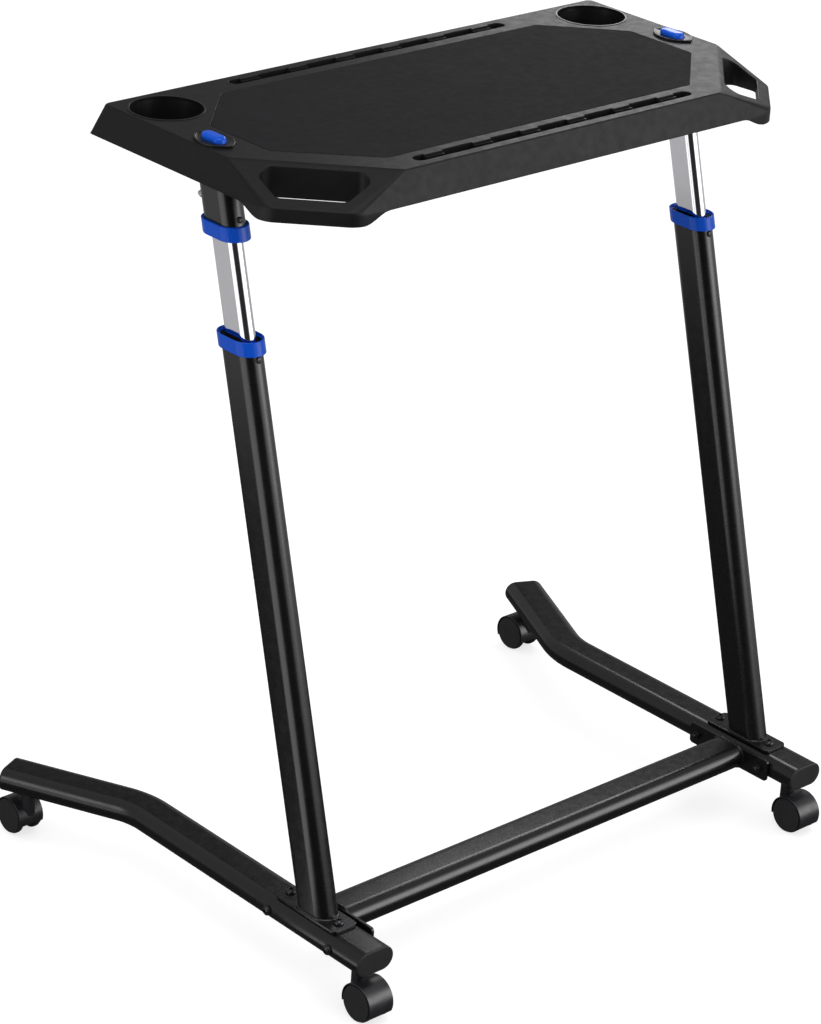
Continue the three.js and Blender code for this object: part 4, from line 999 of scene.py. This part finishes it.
# %% [markdown]
# ## Feet, caps and crossbar
# A foot is a flat oval tube bent once, so that its back end splays out. Its section is carried along the
# bend's path: a straight run, an arc and the splayed run. The caps are separate mouldings with a rolled
# edge.

# %% The path of a foot
foot_front, foot_bend, splay, foot_end_x, bend_tangent = -314.0, 139.0, math.radians(25), 455.7, 25.0
foot_end_y = foot_bend + (foot_end_x - leg_x) / math.tan(splay)
cap_thickness = 2.5


def foot_path(side, bend_steps=20):
    """(x, y, turn) stations: the bend is an arc of radius t / tan(splay / 2) that touches both runs."""
    radius = bend_tangent / math.tan(splay / 2)
    turn = np.linspace(0, splay, bend_steps + 1)
    bend = np.column_stack([leg_x + radius * (1 - np.cos(turn)),
                            foot_bend - bend_tangent + radius * np.sin(turn), turn])
    inset = cap_thickness + gap
    start = [leg_x, foot_front + inset, 0]
    end = [foot_end_x - inset * math.sin(splay), foot_end_y - inset * math.cos(splay), splay]
    stations = np.vstack([start, bend, end])
    return stations * (side, 1, side)


def along_path(stations, outline_points):
    """Rings of a section carried along stations: across the path by its first number, up by its second."""
    across = np.stack([np.cos(stations[:, 2]), -np.sin(stations[:, 2])], 1)
    plan = stations[:, None, :2] + outline_points[None, :, 0, None] * across[:, None]
    level = np.broadcast_to(foot_middle + outline_points[None, :, 1, None], plan.shape[:2] + (1,))
    return np.concatenate([plan, level], 2)


def foot_skin(side):
    """The outer oval goes out along the path and the inner one comes back, which closes the wall at both
    ends."""
    points, facing = lengthways(oval(foot_height, foot_width))
    stations = foot_path(side)
    outer = along_path(stations, points)
    inner = along_path(stations[::-1], points - facing * foot_wall)
    return skin(np.concatenate([outer, inner]))


def placed(rings, origin, across, outward):
    """A piece drawn flat, with its third number along the way out, set at origin."""
    origin, across, outward = (np.asarray(v, float) for v in (origin, across, outward))
    return (origin + rings[..., 0, None] * across + rings[..., 1, None] * np.array([0, 0, 1.0])
            + rings[..., 2, None] * outward)


def cap_skin(side, end):
    """The tube's oval carried along a plug, out over the tube's end and round a rolled edge."""
    outline = lengthways(oval(foot_height, foot_width))
    plug_in = -foot_wall - gap
    profile = [(plug_in - 1, -12), (plug_in, -11), (plug_in, 0), (0, 0), (0, 1.2), (-0.18, 1.75),
               (-0.6, 2.15), (-1.2, 2.35), (-2.6, 2.5)]
    if end < 0:
        outward = (0, -1, 0)
        across = (1, 0, 0)
        origin = (side * leg_x, foot_front + cap_thickness, foot_middle)
    else:
        outward = np.array([side * math.sin(splay), math.cos(splay), 0])
        across = (math.cos(splay), -side * math.sin(splay), 0)
        origin = np.array([side * foot_end_x, foot_end_y, foot_middle]) - outward * cap_thickness
    return skin(placed(carried(outline, profile), origin, across, outward), closed=False)


print("a foot ends at y =", round(foot_end_y, 1), "mm")

# %% Feet and caps
for hand, side in sides:
    make(f"{hand}_foot_tube", [foot_skin(side)], powder_coat, "base", "powder_coat", f"{hand}_foot")
    for where, end in ends:
        make(f"{hand}_{where}_cap", [cap_skin(side, end)], cap_plastic, "base", "end_cap",
             f"{hand}_{where}_foot_cap")

# %% [markdown]
# The crossbar is the same flat oval lying down, with a flange welded on each end. Flange, tube and bead are
# closed skins in one mesh, as welded steel is one piece.

# %% The crossbar
crossbar_y = -204.0
flange_outer = leg_x - foot_width / 2 - gap
flange_inner = flange_outer - 4


def along_x(rings):
    """A piece drawn with its third number up is laid along x: its first number goes along y and its second
    up."""
    return np.stack([rings[..., 2], crossbar_y + rings[..., 0], foot_middle + rings[..., 1]], -1)


bar_outline = lengthways(oval(foot_height, foot_width))
flange_outline = rounded([(70, -15), (70, 15), (-70, 15), (-70, -15)], 5, 6)
bar = carried(bar_outline, [(0, -flange_inner - 2), (0, flange_inner + 2)])
bar_parts = [skin(along_x(bar), closed=False)]
for side in (-1, 1):
    profile = [(-0.6, side * flange_inner), (0, side * (flange_inner + 0.6)),
               (0, side * (flange_outer - 0.6)), (-0.6, side * flange_outer)]
    bar_parts.append(skin(along_x(carried(flange_outline, profile)), closed=False))
    bead_points, bead_facing = finely(bar_outline, 2, 24)
    points, faces = weld_bead(bead_points, bead_facing, side * flange_inner, 1.8, 5.0)
    bar_parts.append((along_x(points), faces))
make("cross_bar", bar_parts, powder_coat, "base", "powder_coat", "crossbar")

# %% [markdown]
# ## Screws, bolts and nuts
# A bolt head is turned, with a hexagon socket: its recess has the radius of a hexagon at each angle. A nut
# is a hexagon whose corners are shaved by a cone, so each of its rings is the smaller of a hexagon and a
# circle.

# %% Hexagons and fasteners
turns, facing_round = 48, circle(0, 48)[1]
spin = np.arange(turns) * 2 * np.pi / turns


def hexagon(half_flats):
    """Radius of a hexagon at each angle: half the width across flats over the cosine of the angle from the
    nearest flat."""
    sixth = np.pi / 3
    return half_flats / np.cos((spin + sixth / 2) % sixth - sixth / 2)


def turned_rings(radii_levels):
    """Rings from (radius, level) pairs, where a radius is a number or one for each angle."""
    rings = []
    for radius, level in radii_levels:
        plan = facing_round * np.broadcast_to(radius, turns)[:, None]
        rings.append(np.column_stack([plan, np.full(turns, level)]))
    return np.array(rings)


def head_skin(radius=6.5, height=5.0, socket=2.3, depth=2.6):
    """A domed head with a washer face and a hexagon socket."""
    dome = [(radius * math.cos(a), 0.9 + (height - 0.9) * math.sin(a)) for a in np.linspace(0, 1.12, 8)]
    bore = hexagon(socket)
    recess = [(bore * 1.12, height - 0.12), (bore, height - 0.5), (bore, height - depth), (0, height - depth)]
    return turned_rings([(0, 0), (radius, 0), *dome, *recess])


def nut_skin(half_flats=5.2, height=5.0, hole=3.0):
    """A hexagon nut, shaved top and bottom."""
    flat = hexagon(half_flats)
    shaved = np.minimum(flat, half_flats * 1.04)
    return turned_rings([(hole, 0), (shaved, 0), (flat, 0.7), (flat, height - 0.7), (shaved, height),
                         (hole + 0.5, height), (hole, height - 0.5)])


def thread_skin(radius, start, end, pitch=1.0):
    """A threaded tail: the radius ripples along it, as a thread's crests do, and the end is chamfered."""
    count = int(abs(end - start) / pitch * 4)
    share = np.linspace(0, 1, count)
    ripple = radius - 0.16 * (1 - np.cos(2 * np.pi * share * abs(end - start) / pitch))
    levels = start + (end - start) * share
    pairs = [(0, start), *zip(ripple, levels), (radius - 0.8, end + np.sign(end - start) * 0.4),
             (0, end + np.sign(end - start) * 0.4)]
    return turned_rings(pairs)


def reversed_levels(rings):
    """The same rings upside down."""
    return rings * (1, 1, -1)


def shank(grip):
    """The plain shank of a bolt, 6 across, as long as what it grips."""
    return turned_rings([(0, 0.5), (3, 0.5), (3, -grip), (0, -grip)])


print("a bolt head has", len(skin(head_skin())[1]), "faces")

# %% [markdown]
# Each leg's base plate is bolted down through its foot, and each foot is bolted through sideways to the
# flange of the crossbar. A bolt is four turned parts in one mesh: head, shank, thread and nut.

# %% Bolts through base plates and flanges
base_bolt_y = {-1: -246.0, 1: -157.0}
cross_bolt_y = {-1: -259.0, 1: -147.0}


def sideways(rings, side):
    """A fastener drawn upright is laid along x, its head outwards."""
    return np.stack([side * rings[..., 2], rings[..., 0], rings[..., 1]], -1)


for hand, side in sides:
    for where, end in ends:
        seat = plate_bottom + plate_thickness + gap
        grip = seat - foot_bottom + gap
        upright = [head_skin(), shifted(reversed_levels(nut_skin()), z=-grip),
                   thread_skin(3, -grip + 1, -grip - 11.6), shank(grip)]
        make(f"{hand}_{where}_plate_bolt",
             [skin(shifted(part, side * leg_x, base_bolt_y[end], seat)) for part in upright],
             black_screw, "base", "black_screw", f"{hand}_{where}_base_bolt")
        grip = foot_width + 4 + 3 * gap
        lying = [head_skin(), shifted(reversed_levels(nut_skin()), z=-grip),
                 thread_skin(3, -grip + 1, -grip - 7.6), shank(grip)]
        x = side * (leg_x + foot_width / 2 + gap)
        make(f"{hand}_{where}_flange_bolt",
             [skin(shifted(sideways(part, side), x, cross_bolt_y[end], foot_middle)) for part in lying],
             black_screw, "base", "black_screw", f"{hand}_{where}_crossbar_bolt")

# %% [markdown]
# A small screw with a cross recess holds each collar at the front of its tube, and a zinc nut sits at the
# back of each sleeve. They stand square to the leaning leg, so they are drawn upright and laid out along
# its two directions.

# %% Screws in the collars and bolts through the sleeves
def across_leg(rings, level, hand, side):
    """A fastener square to the leg, through its front (hand -1) or its back (hand 1): up the drawing is
    straight out of the tube."""
    out = np.array([0, hand * math.cos(lean), -hand * math.sin(lean)])
    along = np.array([0, math.sin(lean), math.cos(lean)])
    origin = np.array([side * leg_x, axis_y(level) + hand * tube_length / 2, level])
    return (origin + rings[..., 0, None] * np.array([1.0, 0, 0]) + rings[..., 1, None] * along
            + rings[..., 2, None] * out)


def screw_rings():
    """A small pan head with a cross recess: the recess is deepest where the angle is near a quarter
    turn."""
    arm = np.abs(np.cos(2 * spin)) ** 6
    pan = [(4 * math.cos(a), gap + 0.6 + 1.6 * math.sin(a)) for a in np.linspace(0, 1.15, 7)]
    slot_ring = 0.5 + 1.3 * arm
    return turned_rings([(0, -3.9), (2, -3.9), (2, gap), (4, gap), *pan, (slot_ring, gap + 2.1),
                         (slot_ring * 0.8, gap + 1.0), (0, gap + 0.9)])


for hand, side in sides:
    for word, level, body in (("upper", upper_screw, "desk"), ("lower", lower_screw, "base")):
        screw = skin(across_leg(screw_rings(), level, -1, side))
        make(f"{hand}_{word}_screw", [screw], black_screw, body, "black_screw", f"{hand}_{word}_collar_screw")
    parts = [turned_rings([(0, -9), (3, -9), (3, gap + 9), (0, gap + 9)]), shifted(nut_skin(5.2, 8.0), z=gap),
             thread_skin(3, gap + 7, gap + 13.6)]
    make(f"{hand}_sleeve_nut", [skin(across_leg(part, sleeve_nut, 1, side)) for part in parts], zinc, "desk",
         "zinc_steel", f"{hand}_sleeve_bolt")

# %% [markdown]
# ## Casters
# Four twin-wheel casters. The hood is a band bent over both wheels, with a web between them and a boss for
# the stem; the band's section is carried through an arc about the axle. Each wheel is turned, with a
# rounded tread and a flat face that stands out from it by a step.

# %% Caster parts
caster_front_y, caster_back_x, trail, axle_level = 285.3, 443.7, 17.7, 24.2
hood_inner, hood_outer, hood_half = 24.7, 25.9, 18.7
hood_from, hood_to = math.radians(-26), math.radians(194)


def caster_place(side, end):
    """Plan place of a caster's stem: under the leg's line at the front, under the splayed end at the
    back."""
    return side * (leg_x if end < 0 else caster_back_x), end * caster_front_y


def about_axle(side, end, rings):
    """From caster coordinates (x across, y away from the stem, z up, the axle at the origin) to the
    desk's."""
    x, y = caster_place(side, end)
    return rings * (1, end, 1) + np.array([x, y + end * trail, axle_level])


def hood_parts():
    """Band and web are arcs, points (x, r cos a, r sin a) with a from the open side round to the stem's;
    the boss is turned about the stem."""
    section = eased([(-hood_half, hood_inner), (hood_half, hood_inner), (hood_half, hood_outer),
                     (-hood_half, hood_outer)], [0.15, 0.15, 0.7, 0.7], 4)
    angle = np.linspace(hood_from, hood_to, 64)
    band = np.stack([np.broadcast_to(section[None, :, 0], (64, len(section))),
                     np.cos(angle)[:, None] * section[None, :, 1],
                     np.sin(angle)[:, None] * section[None, :, 1]], -1)
    arc = np.stack([np.cos(angle), np.sin(angle)], 1) * (hood_inner + 0.6)
    web = np.stack([np.column_stack([np.full(64, x), arc]) for x in (-5, 5)])
    boss = turned_rings([(0, 30.6 - axle_level), (9, 30.6 - axle_level), (9, 59.4 - axle_level),
                         (8.65, 60.25 - axle_level), (7.8, 60.6 - axle_level), (4.3, 60.6 - axle_level),
                         (4.3, 58 - axle_level), (0, 58 - axle_level)])
    return [skin(band, closed=False), skin(web, closed=False), skin(shifted(boss, y=-trail))]


def wheel_parts():
    """Two wheels and their axle, turned about x."""
    parts = []
    for hand in (-1, 1):
        profile = [(0, 10), (21.2, 10), (22.6, 10.3), (23.8, 11), (24.2, 12.4), (24.2, 15.4), (24.0, 16.2),
                   (23.5, 16.6), (22.9, 16.7), (22.75, 16.9), (22.7, 18.4), (22.45, 18.95), (21.9, 19.2),
                   (12, 19.0), (0, 18.9)]
        parts.append(turned_rings([(radius, hand * across) for radius, across in profile]))
    parts.append(turned_rings([(0, -11), (3, -11), (3, 11), (0, 11)]))
    return [skin(part[..., [2, 0, 1]]) for part in parts]


def stem_parts():
    """A thin nut under the foot and a plain stem from the boss up into the foot, both turned."""
    nut = [(4.2, 60.9), (7.1, 60.9), (7.5, 61.3), (7.5, 64.7), (7.1, 65.1), (4.2, 65.1)]
    stem = [(0, 36), (4, 36), (4, foot_bottom + 14), (0, foot_bottom + 14)]
    return [skin(turned_rings(nut)), skin(turned_rings(stem))]


print("a wheel pair has", sum(len(faces) for _, faces in wheel_parts()), "faces")

# %% The four casters
for hand, side in sides:
    for where, end in ends:
        corner = f"{hand}_{where}"
        hood = [(about_axle(side, end, points), faces) for points, faces in hood_parts()]
        make(f"{corner}_hood", hood, hood_plastic, f"{corner}_caster", "hood_plastic",
             f"{corner}_caster_hood")
        wheels = [(about_axle(side, end, points), faces) for points, faces in wheel_parts()]
        make(f"{corner}_twin_wheels", wheels, wheel_plastic, f"{corner}_wheels", "wheel_plastic",
             f"{corner}_caster_wheels")
        x, y = caster_place(side, end)
        stem = [(points + np.array([x, y, 0]), faces) for points, faces in stem_parts()]
        make(f"{corner}_stem", stem, zinc, "base", "zinc_steel", f"{corner}_caster_stem")

# %% [markdown]
# ## What stays from the frame
# The cover under the top, the brackets, rods and lock shoes are inside the desk or under it. Their solids
# already have the right shape, so they keep their meshes and only get their finishes.

# %% Finishes for the solids that stay
kept = {"underside_cover": moulding}
for hand, _ in sides:
    kept[f"{hand}_leg_bracket"] = powder_coat
    kept[f"{hand}_release_rod"] = zinc
    kept[f"{hand}_lock_shoe"] = satin_plastic
for name, look in kept.items():
    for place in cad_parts[name].material_slots:
        place.material = look
print(len(kept), "solids keep their meshes")
